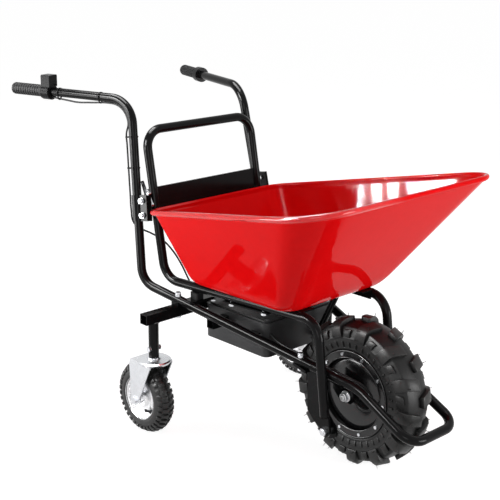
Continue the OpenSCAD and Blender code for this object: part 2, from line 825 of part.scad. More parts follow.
module gauge_face() {
  color(pale_face) on_bar(-1) translate([rock_x, 0, gauge_z + gauge_len]) linear_extrude(face_t)
    rounded(gauge_top - house_d / 2 - 2 * face_t, face_w, gauge_r / 2);
}
// Rocker turns on an axis across the bar; its foot is round so that it clears the pocket
rock_rise = 1.5;
module rocker_switch() {
  rock_r = rock_l / 2 - body_gap;
  deep = rock_deep - 2 * body_gap;
  color(rubber_grey) on_bar(-1) mirror([0, 1, 0]) translate([rock_x - rock_w / 2, gauge_w / 2, rock_z]) rotate([0, 90, 0]) linear_extrude(rock_w) union() {
    intersection() {
      circle(r = rock_r);
      translate([-rock_r, -deep]) square([2 * rock_r, deep]);
    }
    polygon([[-rock_r, 0], [rock_r, 0], [rock_r - body_gap, rock_out + rock_rise], [0, rock_out], [body_gap - rock_r, rock_out + rock_rise]]);
  }
}

// Cables as round sweeps along a list of points
function tangent(p, i) = unit(p[min(i + 1, len(p) - 1)] - p[max(i - 1, 0)]);
function normal_at(p, i) = unit(cross(tangent(p, i), abs(tangent(p, i)[2]) < 0.9 ? [0, 0, 1] : [1, 0, 0]));
function carried(p, i) = i == 0 ? normal_at(p, 0)
  : let(n = carried(p, i - 1), t = tangent(p, i)) unit(n - t * (n * t));
function sweep_ring(p, i, r, k) = let(n = carried(p, i), b = cross(tangent(p, i), n))
  [for (j = [0 : k - 1]) p[i] + r * (cos(360 * j / k) * n + sin(360 * j / k) * b)];
function bezier_mid(a, b, c, t) = lerp(lerp(a, b, t), lerp(b, c, t), t);
// Smooth path through the middles of the given corners
function smooth(p, n) = concat([p[0]], [for (i = [1 : len(p) - 2], k = [0 : n]) bezier_mid(
  i == 1 ? lerp(p[0], p[1], 0.6) : lerp(p[i - 1], p[i], 0.5), p[i],
  i == len(p) - 2 ? lerp(p[i], p[i + 1], 0.4) : lerp(p[i], p[i + 1], 0.5), (k + 0.5) / (n + 1))], [p[len(p) - 1]]);
module cord(p, d, k) {
  m = len(p);
  pts = [for (i = [0 : m - 1]) each sweep_ring(p, i, d / 2, k)];
  sides = [for (i = [0 : m - 2], j = [0 : k - 1]) [i * k + j, i * k + (j + 1) % k, (i + 1) * k + (j + 1) % k, (i + 1) * k + j]];
  first = [for (j = [0 : k - 1]) k - 1 - j];
  last = [for (j = [0 : k - 1]) (m - 1) * k + j];
  polyhedron(points = pts, faces = concat([first], sides, [last]));
}
cable_sides = 10;
throttle_d = 5;
motor_d = 7;
cable_off = tube_r + throttle_d / 2 + run_gap;
cable_sag = 7;
cable_stand = 8;
stand_off = cable_off + cable_stand;
rear_dir = unit(bar_dir - up_dir * (bar_dir * up_dir));
under_dir = unit(up_dir - bar_dir * (bar_dir * up_dir));
hand_turn = acos(up_dir * bar_dir);
hand_in = handle_r * tan(hand_turn / 2);
hand_c = handle_c + unit(bar_dir - up_dir) * handle_r / cos(hand_turn / 2);
function hand_arc(t) = hand_c + (handle_r - cable_off) * (-cos(hand_turn * t) * rear_dir + sin(hand_turn * t) * up_dir);
cable_start = grip_e + bar_dir * house_z - under_dir * cable_off;
// Shares along the bar and of the sag, then shares down the upright
sag_shares = [[0.52, 0.7], [0.44, 1], [0.34, 0.6]];
fall_shares = [0.82, 0.76, 0.66, 0.54, 0.44, 0.32];
cable_bends = [[-633, 207, 536], [-599, 180, 518], [-557, 160, 473], [-534, 138, 404], [-528, 114, 352],
  [-510, 106, 306]];
cable_end_y = 104;
cable_end_z = 300;
throttle_path = concat([cable_start],
  [for (q = sag_shares) lerp(handle_c, grip_e, q[0]) - under_dir * (cable_off + cable_sag * q[1])],
  [for (t = [1 : -0.2 : 0]) hand_arc(t)],
  smooth(concat([for (q = fall_shares) lerp(chassis_c, handle_c, q) + rear_dir * stand_off],
    [for (b = cable_bends) at(b[0], b[1], b[2])], [at(-box_back, cable_end_y, cable_end_z)]), 2));
module throttle_cable() {
  color(rubber_black) cord([for (q = throttle_path) flip(q)], throttle_d, cable_sides);
}
motor_off = tube_r + motor_d / 2 + run_gap;
motor_lift = 25;
boot_mid = (drop_in + boot_in) / 2;
motor_fall = 35;
function along_run(x) = at(x, run_y(x) - motor_off * cos(motor_lift) / cos(run_turn), run_z(x) + motor_off * sin(motor_lift) / cos(run_slope));
motor_bends = [[40, 51, 172], [69, 53, 177], [86, 57, 202], [81, 62, 231], [56, 67, 250]];
motor_xs = [8, -60, -120, -180];
motor_end_y = 116;
motor_end_z = 318;
motor_start = at(boot_d / 2 * cos(motor_fall), boot_mid, axle_z - boot_d / 2 * sin(motor_fall));
motor_path = smooth(concat([motor_start], [for (b = motor_bends) at(b[0], b[1], b[2])], [for (x = motor_xs) along_run(x)],
  [at(-box_front, motor_end_y, motor_end_z)]), 3);
module motor_cable() {
  color(rubber_black) cord([for (q = motor_path) flip(q)], motor_d, cable_sides);
}

// Latch on the right clamp: plate, pivot screw and hook over a peg on the tray frame
latch_in = clamp_slit + flange_t;
latch_back = 17;
latch_fore = 52;
hook_px = 40;
hook_pz = 8;
hook_d = 8;
hook_in = latch_in + latch_t + head_h + body_gap;
hook_t = 3.5;
hook_head_d = 14;
hook_head_h = 2.5;
peg_d = 8;
peg_z = 648;
hook_r = 8;
module latch_plate() {
  color(black_paint) on_upright(-1) difference() {
    block([latch_back, latch_in, -clamp_len / 2], [latch_fore, latch_in + latch_t, clamp_len / 2]);
    for (z = [-1, 1]) translate([clamp_bolt_x, 0, z * clamp_bolt_z]) rotate([90, 0, 0])
      cylinder(h = 2 * tube_d, d = bolt_d + 2 * hole_gap, center = true);
  }
}
module latch_screw() {
  color(zinc) on_upright(-1) translate([hook_px, latch_in + latch_t, hook_pz]) rotate([-90, 0, 0]) {
    cylinder(h = hook_in - latch_in - latch_t - body_gap, d = hook_head_d);
    cylinder(h = hook_in - latch_in - latch_t + hook_t + body_gap + hook_head_h, d = hook_d);
    translate([0, 0, hook_in - latch_in - latch_t + hook_t + body_gap]) cylinder(h = hook_head_h, d = hook_head_d);
  }
}
// Place of the peg in the frame of the right upright
up_r = sided(up_dir, -1);
tilt_a = -asin(up_r[1]);
tilt_b = atan2(up_r[0], up_r[2]);
peg_from = at(-rail_back - (loop_back - rail_back) * (peg_z - rail_z) / (loop_z - rail_z), -loop_y, peg_z);
peg_rel = peg_from - flip(joint_p);
peg_x = peg_rel * [cos(tilt_b), 0, -sin(tilt_b)];
peg_h = peg_rel * up_r;
beak_l = 8;
beak_t = 8;
beak_over = 1;
arm_w = 11;
tail_h = 34;
tail_hole = 5;
tail_back = 11;
hook_open = 12;
// Hook drawn released; turned forward by hook_open it closes over the peg
module latch_hook() {
  px = peg_x - peg_d / 2 - body_gap - hook_px;
  pz = peg_h + peg_d / 2 + body_gap - hook_pz;
  low = pz - body_gap - peg_d;
  tx = px - tail_back;
  color(zinc) on_upright(-1) translate([hook_px, hook_in + hook_t, hook_pz]) rotate([90, -hook_open, 0])
    linear_extrude(hook_t) difference() {
    union() {
      circle(r = hook_r);
      polygon([[-hook_r, 0], [hook_r, 0], [hook_r / 2, low - beak_l], [px, low], [px, pz],
        [px + peg_d + beak_over, pz], [px + peg_d + beak_over, pz + beak_t], [px, pz + beak_t],
        [tx + arm_w / 2, pz + tail_h], [tx - arm_w / 2, pz + tail_h], [px - arm_w, pz], [px - arm_w, low]]);
    }
    circle(d = hook_d + 2 * run_gap);
    translate([tx, pz + tail_h - tail_hole - beak_over]) circle(d = tail_hole);
  }
}

// Tray frame: foot tabs, legs, rails and push loop in one bent tube
foot_p = at(-pivot_back, leg_y, pivot_z);
knee_p = at(-knee_back, leg_y, rail_z);
rail_p = at(-rail_back, loop_y, rail_z);
loop_p = at(-loop_back, loop_y, loop_z);
leg_dir = unit(knee_p - foot_p);
tab_lead = 38;
leg_start = foot_p + leg_dir * tab_lead;
tab_w = 32;
tab_len = 58;
loop_r = 52;
frame_pts = [flip(leg_start), flip(knee_p), flip(rail_p), flip(loop_p), loop_p, rail_p, knee_p, leg_start];
frame_radii = [frame_r, frame_r, loop_r, loop_r, frame_r, frame_r];
module frame_solid() {
  tube_run(frame_pts, frame_radii, tube_d, 0);
}
tray_bolt_xs = [325, 215];
module tray_bolt_spots() {
  for (x = tray_bolt_xs, s = [-1, 1]) translate(at(-x, s * rail_y(-x), 0)) children();
}
module foot_tab(s) {
  translate(sided(foot_p, s)) rotate([0, atan2(leg_dir[0], leg_dir[2]), 0]) translate([0, tab_t / 2, 0]) rotate([90, 0, 0])
    linear_extrude(tab_t) {
      circle(d = tab_w);
      translate([-tab_w / 2, 0]) square([tab_w, tab_lead]);
      translate([-tube_r, 0]) square([tube_d, tab_len]);
    }
}
module tray_frame() {
  color(black_paint) difference() {
    union() {
      tube_run(frame_pts, frame_radii, tube_d, tube_wall);
      for (s = [-1, 1]) foot_tab(s);
    }
    wheel_axis(-pivot_back, 0, pivot_z) cylinder(h = 4 * leg_y, d = pivot_d + 2 * run_gap, center = true);
    tray_bolt_spots() translate([0, 0, rail_z - tube_d]) cylinder(h = 2 * tube_d, d = bolt_d + 2 * hole_gap);
  }
}
peg_out = 10;
module latch_peg() {
  color(zinc) difference() {
    rod(peg_from, peg_from - [0, tube_r + peg_out, 0], peg_d);
    rod(flip(rail_p), flip(loop_p), tube_d);
  }
}

// Sheet between the legs of the push loop
panel_low = 598;
panel_high = 662;
panel_t = 3;
panel_lip = 14;
loop_tilt = atan2(loop_back - rail_back, loop_z - rail_z);
module rear_panel() {
  h = (panel_high - panel_low) / cos(loop_tilt);
  x = -rail_back - (loop_back - rail_back) * (panel_low - rail_z) / (loop_z - rail_z);
  color(black_paint) difference() {
    translate(at(x, 0, panel_low)) rotate([0, -loop_tilt, 0]) union() {
      block([-panel_t / 2, -loop_y, 0], [panel_t / 2, loop_y, h]);
      block([-panel_lip, -loop_y, h - panel_t], [panel_t / 2, loop_y, h]);
      block([-panel_lip, -loop_y, 0], [panel_t / 2, loop_y, panel_t]);
    }
    for (s = [-1, 1]) rod(sided(rail_p, s), sided(loop_p, s), tube_d);
  }
}

// Plate under the rails, front brackets and the bolts that hold the tray
cross_back = 345;
cross_front = 195;
cross_over = 11;
module cross_plate() {
  color(black_paint) difference() {
    translate([ax, 0, rail_bottom - plate_under]) linear_extrude(plate_under) polygon([for (p = [[-cross_back, -1], [-cross_front, -1],
      [-cross_front, 1], [-cross_back, 1]]) [p[0], p[1] * (rail_y(p[0]) + cross_over)]]);
    tray_bolt_spots() cylinder(h = rail_z, d = bolt_d + 2 * hole_gap);
  }
}
brk_back = 162;
brk_front = 92;
brk_in = 94;
brk_t = 4;
brk_low = 396;
brk_bolt_y = 108;
brk_mid = (brk_back + brk_front) / 2;
brk_bolt_back = 142;
module front_brackets() {
  color(black_paint) difference() {
    for (s = [-1, 1]) {
      y = rail_y(-brk_mid);
      block(at(-brk_back, s > 0 ? brk_in : -y, floor_z - brk_t), at(-brk_front, s > 0 ? y : -brk_in, floor_z));
      block(at(-brk_back, s > 0 ? y - tube_r - brk_t : -y + tube_r, brk_low), at(-brk_front, s > 0 ? y - tube_r : -y + tube_r + brk_t, floor_z));
    }
    frame_solid();
    for (s = [-1, 1]) translate(at(-brk_bolt_back, s * brk_bolt_y, 0)) cylinder(h = 2 * rail_z, d = bolt_d + 2 * hole_gap);
  }
}
button_d = 20;
button_h = 3.5;
module tray_bolt(low) {
  top = floor_z + tray_t;
  translate([0, 0, low - washer_t - nut_h - cut_over]) cylinder(h = top - low + washer_t + nut_h + cut_over, d = bolt_d);
  translate([0, 0, low - washer_t]) cylinder(h = washer_t, d = washer_d);
  translate([0, 0, low - washer_t - nut_h]) hexagon(nut_af, nut_h);
  translate([0, 0, top]) cylinder(h = button_h, d = button_d);
}
module tray_bolts() {
  color(zinc) {
    tray_bolt_spots() tray_bolt(rail_bottom - plate_under);
    for (s = [-1, 1]) translate(at(-brk_bolt_back, s * brk_bolt_y, 0)) tray_bolt(floor_z - brk_t);
  }
}

// Tray: floor and walls drawn as rings of points, with a rolled rim
floor_rear_r = 35;
floor_front_r = 45;
rim_rear_r = 50;
rim_front_r = 110;
floor_in = 17;
fillet_share = 0.14;
arc_steps = 8;
// Rounded corner of a plan quadrilateral between the corners a, b, c
function corner(a, b, c, r) = let(u = unit(a - b), v = unit(c - b), h = acos(u * v) / 2, m = b + unit(u + v) * r / sin(h),
  s = b + u * r / tan(h) - m, e = b + v * r / tan(h) - m, w = acos(unit(s) * unit(e)))
  [for (i = [0 : arc_steps]) m + (sin(w * (1 - i / arc_steps)) * s + sin(w * i / arc_steps) * e) / sin(w)];
function plan(q, r) = [for (i = [0 : 3]) each corner(q[(i + 3) % 4], q[i], q[(i + 1) % 4], r[i])];
function trapezoid(xb, xf, yb, yf) = [[ax + xb, -yb], [ax + xf, -yf], [ax + xf, yf], [ax + xb, yb]];
function rim_z(x) = lerp(rim_rear_z, rim_front_z, (x - ax + rim_back) / (rim_front + rim_back));
function grown(g) = plan(trapezoid(-floor_back - g, -floor_front + g, floor_rear_y + g, floor_front_y + g),
  [floor_rear_r, floor_front_r, floor_front_r, floor_rear_r]);
function rim_plan(g) = plan(trapezoid(-rim_back - g, rim_front + g, rim_rear_y + g, rim_front_y + g),
  [rim_rear_r + g, rim_front_r + g, rim_front_r + g, rim_rear_r + g]);
function lifted(p, z) = [for (q = p) [q[0], q[1], z]];
function on_rim(p, dz) = [for (q = p) [q[0], q[1], rim_z(q[0]) + dz]];
function blend_rings(a, b, t) = [for (i = [0 : len(a) - 1]) lerp(a[i], b[i], t)];
wall_shares = [0.3, 0.55, 0.8];
fillet_shares = [0, 0.25, 0.5, 0.75, 1];
function wall_rings(g, z) = let(f = lifted(grown(g), z), c = lifted(grown(g - floor_in), z), r = on_rim(rim_plan(g), -2 * roll_r),
  w = blend_rings(f, r, fillet_share))
  concat([for (t = fillet_shares) blend_rings(blend_rings(c, f, t), blend_rings(f, w, t), t)], [for (t = wall_shares) blend_rings(f, r, t)], [r]);
roll_angles = [-60, -20, 20, 60, 100, 140];
function back_list(a) = [for (i = [len(a) - 1 : -1 : 0]) a[i]];
tray_rings = concat(wall_rings(tray_t, floor_z), [for (f = roll_angles) on_rim(rim_plan(roll_r + roll_r * cos(f)), -roll_r + roll_r * sin(f))],
  back_list(wall_rings(0, floor_z + tray_t)));
module tray_sheet() {
  k = len(tray_rings[0]);
  m = len(tray_rings);
  pts = [for (r = tray_rings) each r];
  tris = [for (i = [0 : m - 2], j = [0 : k - 1]) each [[i * k + j, (i + 1) * k + j, i * k + (j + 1) % k],
    [i * k + (j + 1) % k, (i + 1) * k + j, (i + 1) * k + (j + 1) % k]]];
  first = [for (j = [0 : k - 1]) j];
  last = [for (j = [0 : k - 1]) m * k - 1 - j];
  polyhedron(points = pts, faces = concat([first], tris, [last]));
}
module tray_shell() {
  color(red_paint) difference() {
    tray_sheet();
    tray_bolt_spots() translate([0, 0, floor_z - tube_r]) cylinder(h = tube_d, d = bolt_d + 2 * hole_gap);
    for (s = [-1, 1]) translate(at(-brk_bolt_back, s * brk_bolt_y, floor_z - tube_r)) cylinder(h = tube_d, d = bolt_d + 2 * hole_gap);
  }
}

// Drive wheel, drawn around z and then laid across
crown_r = 110;
side_r = 75;
side_mid = 145;
tyre_t = 10;
lug_side = 3;
lug_deep = 40;
lug_l = 58;
lug_in = 2;
flange_ring = 12;
flange_lip = 14;
flange_d = max(rim_d, cover_d + 2 * flange_ring);
bead_r = flange_d / 2 - flange_lip;
carcass_r = tyre_d / 2 - lug_h;
module tyre_section(grow, side) {
  s0 = side_r - tyre_w / 2;
  intersection() {
    translate([carcass_r - crown_r, 0]) circle(r = crown_r + grow);
    translate([side_mid, -s0]) circle(r = side_r + side);
    translate([side_mid, s0]) circle(r = side_r + side);
    translate([bead_r, -tyre_w]) square([tyre_d, 2 * tyre_w]);
  }
}
module lug(i, h) {
  rotate([0, 0, 270 + 360 * (i + (h > 0 ? 0 : 0.5)) / lug_count]) translate([tyre_d / 2 - lug_deep, 0, h * lug_in]) rotate([h * lug_turn, 0, 0])
    block([0, -lug_w / 2, h > 0 ? 0 : -lug_l], [2 * lug_deep, lug_w / 2, h > 0 ? lug_l : 0]);
}
module drive_tyre() {
  color(rubber_black) wheel_axis(0, 0, axle_z) difference() {
    union() {
      rotate_extrude() tyre_section(0, 0);
      intersection() {
        union() {
          for (i = [0 : lug_count - 1]) lug(i, 1);
          for (i = [0 : lug_count - 1]) lug(i, -1);
        }
        rotate_extrude() tyre_section(lug_h, lug_side);
      }
    }
    rotate_extrude() tyre_section(-tyre_t, -tyre_t);
  }
}
flange_out = 46;
flange_in = 36;
core_half = 24;
core_bore = 20;
module hub_half2() {
  difference() {
    translate([cover_d / 2 + run_gap, 0]) square([flange_d / 2 - cover_d / 2 - run_gap, flange_out]);
    tyre_section(0, 0);
    translate([bead_r, -cut_over]) square([tyre_d, flange_in]);
  }
  translate([core_bore, 0]) square([bead_r - core_bore, core_half]);
}
hub_screw_r = (flange_d + cover_d) / 4;
hub_screw_d = 5;
hub_head_d = 8.5;
hub_head_h = 3;
hub_screw_len = 4;
module hub_screw_spots() {
  for (h = [0, 180], i = [0 : screw_count - 1]) rotate([h, 0, 360 * i / screw_count]) translate([hub_screw_r, 0, flange_out]) children();
}
module hub_shell() {
  color(black_paint) wheel_axis(0, 0, axle_z) difference() {
    rotate_extrude() union() {
      hub_half2();
      mirror([0, 1]) hub_half2();
    }
    hub_screw_spots() translate([0, 0, -hub_screw_len]) cylinder(h = 2 * hub_screw_len, d = hub_screw_d);
  }
}
module hub_screws() {
  color(zinc) wheel_axis(0, 0, axle_z) hub_screw_spots() {
    translate([0, 0, -hub_screw_len]) cylinder(h = hub_screw_len, d = hub_screw_d);
    cylinder(h = hub_head_h, d = hub_head_d);
  }
}
boss_r = 24;
cover_edge = 32;
cover_step = 8;
module hub_cover() {
  c = cover_d / 2;
  b = axle_d / 2 + run_gap;
  rotate_extrude() polygon([[b, core_half], [c, core_half], [c, cover_edge], [c - cover_step, cover_edge + cover_step / 4],
    [boss_r + cover_step, cover_out - cover_step / 2], [boss_r, cover_out], [b, cover_out]]);
}
module hub_cover_right() {
  color(black_paint) wheel_axis(0, 0, axle_z) hub_cover();
}
module hub_cover_left() {
  color(black_paint) wheel_axis(0, 0, axle_z) rotate([180, 0, 0]) hub_cover();
}

// Casters
fork_t = 4;
fork_gap = 5;
fork_in = caster_w / 2 + fork_gap;
crown_t = 5;
dish_d = 96;
dish_step = 4;
fork_foot_r = 16;
crown_back = 54;
crown_fore = 30;
caster_axle_d = 10;
caster_nut_af = 16;
caster_head_h = 6.5;
hub_half_w = 31;
module at_caster(s) {
  translate([ax - caster_back, s * caster_y, 0]) children();
}
module fork_leg() {
  linear_extrude(fork_t) difference() {
    union() {
      translate([-caster_trail, caster_d / 2]) circle(r = fork_foot_r);
      polygon([[-crown_back, crown_bottom + crown_t], [crown_fore, crown_bottom + crown_t], [crown_fore, crown_bottom - crown_t],
        [-caster_trail + fork_foot_r, caster_d / 2], [-caster_trail - fork_foot_r, caster_d / 2], [-crown_back - crown_t, crown_bottom - 2 * crown_t]]);
    }
    translate([-caster_trail, caster_d / 2]) circle(d = caster_axle_d);
  }
}
module caster_fork(s) {
  color(zinc) at_caster(s) difference() {
    union() {
      translate([0, -fork_in, 0]) rotate([90, 0, 0]) fork_leg();
      translate([0, fork_in + fork_t, 0]) rotate([90, 0, 0]) fork_leg();
      block([-crown_back, -fork_in, crown_bottom], [crown_fore, fork_in, crown_bottom + crown_t]);
      translate([0, 0, crown_bottom]) rotate_extrude() polygon([[0, 0], [dish_d / 2 - dish_step, 0], [dish_d / 2, crown_t], [dish_d / 2, crown_t + dish_step / 2],
        [dish_d / 2 - dish_step, dish_top - crown_bottom - dish_step / 2], [journal_d, dish_top - crown_bottom], [0, dish_top - crown_bottom]]);
    }
    cylinder(h = 2 * dish_top, d = journal_d + 2 * run_gap);
  }
}
module caster_fork_right() {
  caster_fork(-1);
}
module caster_fork_left() {
  caster_fork(1);
}
spacer_d = 18;
module caster_axle(s) {
  half = fork_in + fork_t;
  color(zinc) at_caster(s) translate([-caster_trail, 0, caster_d / 2]) rotate([s * -90, 0, 0]) {
    translate([0, 0, -half - caster_head_h]) cylinder(h = 2 * half + caster_head_h, d = caster_axle_d);
    translate([0, 0, half]) hexagon(caster_nut_af, caster_head_h);
    translate([0, 0, -half - caster_head_h]) hexagon(caster_nut_af, caster_head_h);
    for (z = [-fork_in, hub_half_w + body_gap]) translate([0, 0, z]) cylinder(h = fork_in - hub_half_w - body_gap, d = spacer_d);
  }
}
module caster_axle_right() {
  caster_axle(-1);
}
module caster_axle_left() {
  caster_axle(1);
}
caster_lug = 5;
caster_lug_w = 9;
caster_lug_half = 25;
caster_seat = 5;
module caster_section(r) {
  intersection() {
    translate([caster_d / 2 - caster_w / 2, 0]) circle(r = r);
    translate([caster_rim_d / 2 - caster_seat, -caster_w]) square([caster_d, 2 * caster_w]);
  }
}
module caster_tyre(s) {
  color(rubber_black) at_caster(s) translate([-caster_trail, 0, caster_d / 2]) rotate([90, 0, 0]) {
    rotate_extrude() caster_section(caster_w / 2 - caster_lug);
    intersection() {
      rotate_extrude() caster_section(caster_w / 2);
      for (i = [0 : caster_bars - 1]) rotate([0, 0, 270 + 360 * i / caster_bars])
        block([caster_d / 2 - caster_w / 2, -caster_lug_w / 2, i % 2 == 0 ? -caster_lug_half : -caster_lug_half / 2],
          [caster_d, caster_lug_w / 2, i % 2 == 0 ? caster_lug_half / 2 : caster_lug_half]);
    }
  }
}
module caster_tyre_right() {
  caster_tyre(-1);
}
module caster_tyre_left() {
  caster_tyre(1);
}
caster_hub_r = 16;
web_hub = 15;
web_rim = 6;
caster_rim_wall = 7;
caster_flange = 24;
module caster_rim(s) {
  seat = caster_rim_d / 2 - caster_seat;
  bore = caster_axle_d / 2 + run_gap;
  color(zinc) at_caster(s) translate([-caster_trail, 0, caster_d / 2]) rotate([90, 0, 0]) rotate_extrude() difference() {
    union() {
      translate([bore, -hub_half_w]) square([caster_hub_r - bore, 2 * hub_half_w]);
      polygon([[bore, -web_hub], [seat, -web_rim], [seat, web_rim], [bore, web_hub]]);
      translate([seat - caster_rim_wall, -caster_flange]) square([caster_rim_wall, 2 * caster_flange]);
      for (h = [-1, 1]) translate([seat - caster_rim_wall / 2, h * caster_flange - (h > 0 ? caster_seat : 0)]) square([caster_rim_wall / 2 + caster_seat, caster_seat]);
    }
    caster_section(caster_w / 2 - caster_lug);
  }
}
module caster_rim_right() {
  caster_rim(-1);
}
module caster_rim_left() {
  caster_rim(1);
}

chassis_tube();
handle_tube_right();
handle_tube_left();
clamp_outer_right();
clamp_inner_right();
clamp_outer_left();
clamp_inner_left();
clamp_bolts();
caster_bar();
bar_bolts();
caster_stem_right();
caster_stem_left();
dropout_right();
dropout_left();
drive_axle();
axle_nuts();
cable_boot();
pivot_plate_right();
pivot_plate_left();
pivot_bolts();
rest_bar();
rest_pads();
battery_box();
battery_lid();
lid_screws();
battery_cradle();
prop_bar();
tray_prop();
grip_left();
bar_collar_left();
throttle_housing();
gauge_box();
gauge_face();
throttle_cable();
motor_cable();
latch_plate();
latch_screw();
rocker_switch();
throttle_grip();
latch_hook();
tray_shell();
tray_frame();
latch_peg();
rear_panel();
cross_plate();
front_brackets();
tray_bolts();
drive_tyre();
hub_shell();
hub_cover_right();
hub_cover_left();
hub_screws();
caster_fork_right();
caster_fork_left();
caster_axle_right();
caster_axle_left();
caster_tyre_right();
caster_tyre_left();
caster_rim_right();
caster_rim_left();
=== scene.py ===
"""Looks of a three-wheeled battery barrow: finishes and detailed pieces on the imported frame."""

import json
import logging
import math
from dataclasses import dataclass, field
from enum import Enum
from typing import Any, Sequence, Union

import bmesh
import bpy
from mathutils import Matrix, Vector

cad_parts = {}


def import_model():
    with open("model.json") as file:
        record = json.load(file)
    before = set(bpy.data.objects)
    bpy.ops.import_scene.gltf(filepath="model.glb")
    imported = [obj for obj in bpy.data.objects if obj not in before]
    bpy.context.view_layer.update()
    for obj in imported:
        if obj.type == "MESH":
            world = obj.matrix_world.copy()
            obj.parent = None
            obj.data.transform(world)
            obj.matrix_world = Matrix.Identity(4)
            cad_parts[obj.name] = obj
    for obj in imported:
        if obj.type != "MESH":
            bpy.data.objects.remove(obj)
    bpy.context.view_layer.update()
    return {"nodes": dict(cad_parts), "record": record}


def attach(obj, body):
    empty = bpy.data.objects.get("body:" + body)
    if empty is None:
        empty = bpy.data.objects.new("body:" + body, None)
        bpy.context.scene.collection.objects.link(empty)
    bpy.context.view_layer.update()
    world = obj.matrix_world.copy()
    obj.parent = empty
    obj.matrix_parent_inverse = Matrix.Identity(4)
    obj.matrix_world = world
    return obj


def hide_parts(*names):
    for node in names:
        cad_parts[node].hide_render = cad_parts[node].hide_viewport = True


LOG = logging.getLogger("barrow")
Pair = tuple[float, float]
Triple = tuple[float, float, float]
Profile = Sequence[Pair]
Number = Union[float, "Link"]

MM = 0.001
MERGE = 1e-6
AXLE_X = 0.422436
AXLE_Z = 0.2
ACROSS = Vector((0.0, 1.0, 0.0))
UP = Vector((0.0, 0.0, 1.0))
WHITE = (1.0, 1.0, 1.0)
SIDES = (("right", -1.0), ("left", 1.0))
# Side of a tyre's half, and by what share of a block its row is turned.
TYRE_HALVES = ((-1.0, 0.0), (1.0, 0.5))
# Angle of a wheel's lowest point.
GROUND_TURN = math.radians(270.0)
SEEN_RAYS = ("Is Camera Ray", "Is Glossy Ray", "Is Transmission Ray")
# Where nearly all values of a noise texture lie.
NOISE_RANGE = (0.3, 0.7)
# Every finish mixes broad patches with noise that is many times finer.
PATCH_OCTAVES, PATCH_ROUGH = 4.0, 0.6
FINE_TIMES, FINE_OCTAVES = 22.0, 3.0
PATCH_IN_TONE, PATCH_IN_ROUGHNESS, PATCH_IN_LUGS = 0.65, 0.4, 0.5


class Link:
    """A node's output socket; arithmetic on it adds Math nodes to the same tree."""

    def __init__(self, tree: bpy.types.NodeTree, socket: bpy.types.NodeSocket) -> None:
        """Keeps the tree and the socket."""
        self.tree = tree
        self.socket = socket

    def _math(self, operation: str, first: Number, second: Number) -> "Link":
        """Adds one Math node.

        Args:
            operation: Name of the Math operation.
            first: Left-hand value or link.
            second: Right-hand value or link.

        Returns:
            The link of the result.
        """
        made = self.tree.nodes.new("ShaderNodeMath")
        made.operation = operation
        for place, given in enumerate((first, second)):
            if isinstance(given, Link):
                self.tree.links.new(given.socket, made.inputs[place])
            else:
                made.inputs[place].default_value = given
        return Link(self.tree, made.outputs[0])

    def __add__(self, other: Number) -> "Link":
        """Sum."""
        return self._math("ADD", self, other)

    __radd__ = __add__

    def __sub__(self, other: Number) -> "Link":
        """Difference."""
        return self._math("SUBTRACT", self, other)

    def __rsub__(self, other: Number) -> "Link":
        """Difference the other way round."""
        return self._math("SUBTRACT", other, self)

    def __mul__(self, other: Number) -> "Link":
        """Product."""
        return self._math("MULTIPLY", self, other)

    __rmul__ = __mul__

    def __pow__(self, other: Number) -> "Link":
        """Power."""
        return self._math("POWER", self, other)

    def __abs__(self) -> "Link":
        """Size without the sign."""
        return self._math("ABSOLUTE", self, 0.0)

    def above(self, other: Number) -> "Link":
        """One where this is larger, otherwise nought."""
        return self._math("GREATER_THAN", self, other)

    def larger(self, other: Number) -> "Link":
        """The larger of the two."""
        return self._math("MAXIMUM", self, other)


class Nodes:
    """A node tree that is filled node by node."""

    def __init__(self, tree: bpy.types.NodeTree) -> None:
        """Empties the tree and keeps it."""
        self.tree = tree
        self.tree.nodes.clear()

    def node(self, kind: str, settings: dict[str, Any] | None = None,
             sockets: dict[str | int, Any] | None = None, output: str | int = 0) -> Link:
        """Adds a node.

        Args:
            kind: Type name of the node.
            settings: Properties that are set first.
            sockets: Values or links of its inputs.
            output: The output that is handed back.

        Returns:
            The link of that output.
        """
        made = self.tree.nodes.new(kind)
        for name, value in (settings or {}).items():
            setattr(made, name, value)
        for name, value in (sockets or {}).items():
            socket = made.inputs[name]
            if isinstance(value, Link):
                self.tree.links.new(value.socket, socket)
            elif isinstance(value, tuple) and socket.type == "RGBA":
                socket.default_value = (*value, 1.0)
            else:
                socket.default_value = value
        return Link(self.tree, made.outputs[output] if len(made.outputs) else None)

    def outputs(self, link: Link, names: Sequence[str]) -> list[Link]:
        """Lists more outputs of the node that a link comes from."""
        return [Link(self.tree, link.socket.node.outputs[name]) for name in names]

    def seen(self) -> Link:
        """Marks the rays that show the white surround: from the camera, off gloss and through glass."""
        camera, gloss, glass = self.outputs(self.node("ShaderNodeLightPath"), SEEN_RAYS)
        return camera + gloss + glass


